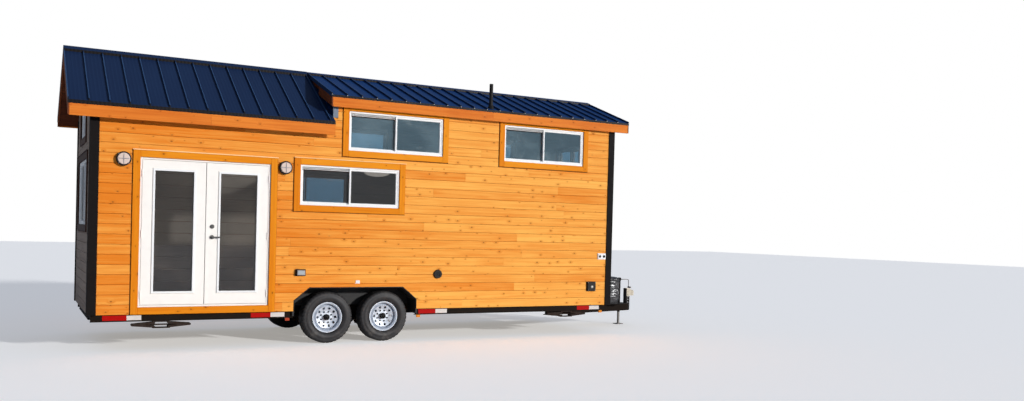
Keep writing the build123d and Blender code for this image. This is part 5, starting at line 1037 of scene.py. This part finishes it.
for place in WHEEL_PLACES:
    carried, body = "tyre_" + place, "wheel_" + place
    low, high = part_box(carried)
    centre = Vector(((low.x + high.x) / 2, (low.y + high.y) / 2, TYRE_RADIUS))
    axes = (centre, X, Z, Y if centre.y > 0 else -Y)
    tyre, hub = Solids(71), Solids(72)
    tyre.turn(axes, profile, TREAD_STEPS, tread)
    tyre.finish(carried + "_rubber", tyre_rubber, "tyre_rubber", (carried,), body)
    hub.turn(axes, HUB_CAP, 36)
    for k in range(LUG_COUNT):
        angle = 2 * math.pi * (k + 0.5) / LUG_COUNT
        nut = at(axes, *polar(LUG_CIRCLE, angle), 0)
        hub.turn((nut, *axes[1:]), LUG_NUT, 6, smooth=False)
    hub.tube([at(axes, VALVE_OFFSET, 0, 0.055), at(axes, VALVE_OFFSET + 0.004, 0, 0.075),
              at(axes, VALVE_OFFSET + 0.004, 0, 0.089)], 0.004, 8)
    hub.finish("hub_and_nuts_" + place, black_plastic, "lamp_black", body=body)

# Vinyl cover over the gas bottles
COVER_AROUND = 196
COVER_ROWS = 72
COVER_TOP_ROWS = 20
COVER_CROWN = 0.06
COVER_SQUARENESS = 0.36
COVER_INSET = 0.006
HEM_RADIUS = 0.0035


def squared(value):
    """Push a cosine or sine outwards, so that a circle becomes a rounded rectangle."""
    return math.copysign(abs(value) ** COVER_SQUARENESS, value)


def pulled_in(x, y, z, level):
    """How far the cover lies inside its box: it sags softly, with sharp creases that cross."""
    along = x + y
    falling = noise.noise(Vector(((along + z) * 2.2, (along - z) * 12.0, 0.3)))
    rising = noise.noise(Vector(((along - z) * 2.4, (along + z) * 10.0, 4.7)))
    broad = noise.noise(Vector((x * 3.0, y * 3.0, z * 3.4)))
    ridge = max(max(0.0, 1 - 3.0 * abs(v)) ** 2 for v in (falling, rising))
    return max(0.002, 0.017 + 0.02 * broad * level - 0.012 * ridge * level)


def locker_cover():
    """A rounded box of soft vinyl, pulled in and creased between its corners, with piping at its hem."""
    low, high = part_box("gas_locker_cover")
    size, height = high - low, high.z - low.z
    centre, half = (low + high) / 2, size / 2
    angles = [2 * math.pi * k / COVER_AROUND for k in range(COVER_AROUND)]
    outline = [Vector((squared(math.cos(a)) * half.x, squared(math.sin(a)) * half.y, 0)) for a in angles]
    points, grain = [], []
    for row in range(COVER_ROWS + COVER_TOP_ROWS + 1):
        if row <= COVER_ROWS:
            z = low.z + 0.004 + row / COVER_ROWS * (height - COVER_CROWN)
            shrink = 1.0
        else:
            a = (row - COVER_ROWS) / COVER_TOP_ROWS * math.pi / 2
            z = high.z - COVER_CROWN + COVER_CROWN * math.sin(a) ** 0.8
            shrink = max(0.02, math.cos(a) ** 0.55)
        level = min(1.0, 4 * (z - low.z) / height)
        for edge in outline:
            place = Vector((centre.x + edge.x * shrink, centre.y + edge.y * shrink, z))
            pull = pulled_in(place.x, place.y, z, level)
            drape = 0.006 * math.sin(edge.y * 34) * (1 - level)
            outward = Vector((edge.x / half.x ** 2, edge.y / half.y ** 2, 0)).normalized()
            if row > COVER_ROWS:
                outward = (outward * shrink + Z * (1 - shrink)).normalized()
                pull *= 0.6
            points.append(place - outward * (pull + drape + COVER_INSET))
            grain.append(place)
    rows = COVER_ROWS + COVER_TOP_ROWS
    faces = grid_faces(rows + 1, COVER_AROUND, close_columns=True)
    faces.append([rows * COVER_AROUND + k for k in range(COVER_AROUND)])
    cloth = Solids(81)
    cloth.new_board()
    cloth.add(points, faces, grain, smooth=True)
    piece = cloth.finish("gas_bottle_cover", vinyl(), "cover_vinyl", ("gas_locker_cover",))
    hem = Solids(82)
    for lift in (0.01, 0.036):
        path = [Vector((centre.x + e.x * 0.975, centre.y + e.y * 0.985, low.z + lift)) for e in outline[::3]]
        hem.tube(path + path[:1], HEM_RADIUS, 8)
    hem.finish("cover_hem_cord", black_plastic, "lamp_black")


locker_cover()

# Materials of the carried-over nodes


def dress(material, *nodes):
    """Give carried-over nodes a material."""
    for name in nodes:
        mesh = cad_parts[name].data
        mesh.materials.clear()
        mesh.materials.append(material)


# The walls' core carries painted shade for the gaps between the boards
dress(wall_core_shade, "front_wall_left", "front_wall_over_door", "front_wall_under_door", "front_wall_right",
      "back_wall", "lower_walls", "arch_corners", "left_end_wall", "right_end_wall")
dress(grey_cheek, "dormer_cheeks")
# Roof deck and ridge beam in cedar darkened as painted shade
dress(cedar_soffit_shade, "roof_deck", "ridge_beam")
dress(deck_wood, "floor", "loft_floor")
dress(black_trim, "corner_trims")
dress(seamed_metal(), "roof_sheets", "ridge_cap")
dress(well_plate, "wheel_wells")
dress(black_steel, "chassis_rails", "cross_members", "tongue_rails", "axles", "spring_hangers",
      "gas_locker_tray", "jack_tube")
dress(rust_steel, "scissor_jacks", "leaf_springs")
dress(jack_paint, "jack_leg", "jack_crank")
dress(white_paint, "door_frame", "door_leaf_left", "door_leaf_right", "door_hinges", "leaf_hinges_left",
      "leaf_hinges_right")
dress(glass("window glass", (0.011, 0.01, 0.009), 0.5), "window_glass")
dress(glass("door glass", (0.078, 0.06, 0.044), 0.7), "door_glass_left", "door_glass_right")
dress(nickel, "door_lever", "lock_plates")
dress(black_plastic, "wall_lamps", "vent_stack")
dress(lens_white, "wall_lamp_lenses")
dress(wheel_silver, *("wheel_" + place for place in WHEEL_PLACES))
dress(zones("service fittings", (0.016, 0.014, 0.013),
            ((3.6, 3.69, 0.0, (0.8, 0.78, 0.75)), (7.94, 8.15, 0.0, (0.84, 0.82, 0.8)))),
      "service_fittings")
dress(zones("marker lenses", (0.72, 0.24, 0.03), ((2.4, 2.8, 0.0, (0.42, 0.06, 0.025)),), 0.22),
      "marker_lights")
dress(zones("coupler paint", (0.012, 0.009, 0.008),
            ((TIP - 0.185, TIP + 0.1, 0.535, (0.6, 0.52, 0.4)),), 0.45), "coupler")

# Stage
STAGE_REACH = 60
floor_mesh = bpy.data.meshes.new("stage_floor")
floor_mesh.from_pydata([(x * STAGE_REACH, y * STAGE_REACH, 0) for x, y in AROUND], [], [(0, 1, 2, 3)])
floor = new_object("stage_floor", floor_mesh)
pale = Shader("pale floor", (0.9, 0.89, 0.87), 0.9, specular=0.0)
pale.put(Emission_Color=(1.0, 0.96, 0.9, 1.0),
         Emission_Strength=pale.times(pale.add("LightPath").outputs["Is Camera Ray"], 0.34))
floor_mesh.materials.append(pale.material)

# Camera, as the photograph's edges give it, with lengths in pixels and angles in degrees
IMAGE_WIDTH = 1024
FOCAL_PIXELS = 902.6
PRINCIPAL_DROP = 39.5
YAW, PITCH, ROLL = 29.14, -0.63, 1.51
CAMERA_PLACE = Vector((X_LEFT - 0.917, -Y_WALL - 12.89, 1.745))
SENSOR = 36.0
camera_data = bpy.data.cameras.new("camera")
camera_data.sensor_width = SENSOR
camera_data.lens = FOCAL_PIXELS / IMAGE_WIDTH * SENSOR
camera_data.shift_y = PRINCIPAL_DROP / IMAGE_WIDTH
camera_data.clip_end = 300
camera = new_object("camera", camera_data)
stance = Matrix.Translation(CAMERA_PLACE)
for degrees, axis in ((-YAW, "Z"), (PITCH, "X"), (-ROLL, "Y"), (90, "X")):
    stance = stance @ Matrix.Rotation(math.radians(degrees), 4, axis)
camera.matrix_world = stance
bpy.context.scene.camera = camera

# Soft sun, and a sky that the camera sees as plain white, or as blue behind the panes
sun_data = bpy.data.lights.new("sun", "SUN")
sun_data.energy = 3.2
sun_data.angle = math.radians(3)
sun = new_object("sun", sun_data)
sun.rotation_mode = "QUATERNION"
sun.rotation_quaternion = Vector((0.65, -1.0, 0.3)).to_track_quat("Z", "Y")

world = bpy.data.worlds.new("world")
bpy.context.scene.world = world
world.use_nodes = True
sky = Nodes(world.node_tree)
height = sky.split(sky.add("TexCoord").outputs["Generated"])[2]
tint = sky.mix(sky.range(height, 0.0, 0.7, kind="LINEAR"), (0.86, 0.9, 0.95), (0.42, 0.58, 0.9))
light = sky.tree.nodes["Background"]
sky.set(light.inputs["Color"], tint)
sky.set(light.inputs["Strength"], 0.34)
ray = sky.add("LightPath").outputs
behind_glass = sky.math("GREATER_THAN", ray["Transparent Depth"], 0.5)
backdrop = sky.add("Background", Color=sky.mix(behind_glass, (1.0, 1.0, 1.0), (0.5, 1.3, 2.1)))
blend = sky.add("MixShader", Fac=ray["Is Camera Ray"])
sky.set(blend.inputs[1], light)
sky.set(blend.inputs[2], backdrop)
sky.set(sky.tree.nodes["World Output"].inputs["Surface"], blend)
bpy.context.scene.view_settings.view_transform = "Standard"
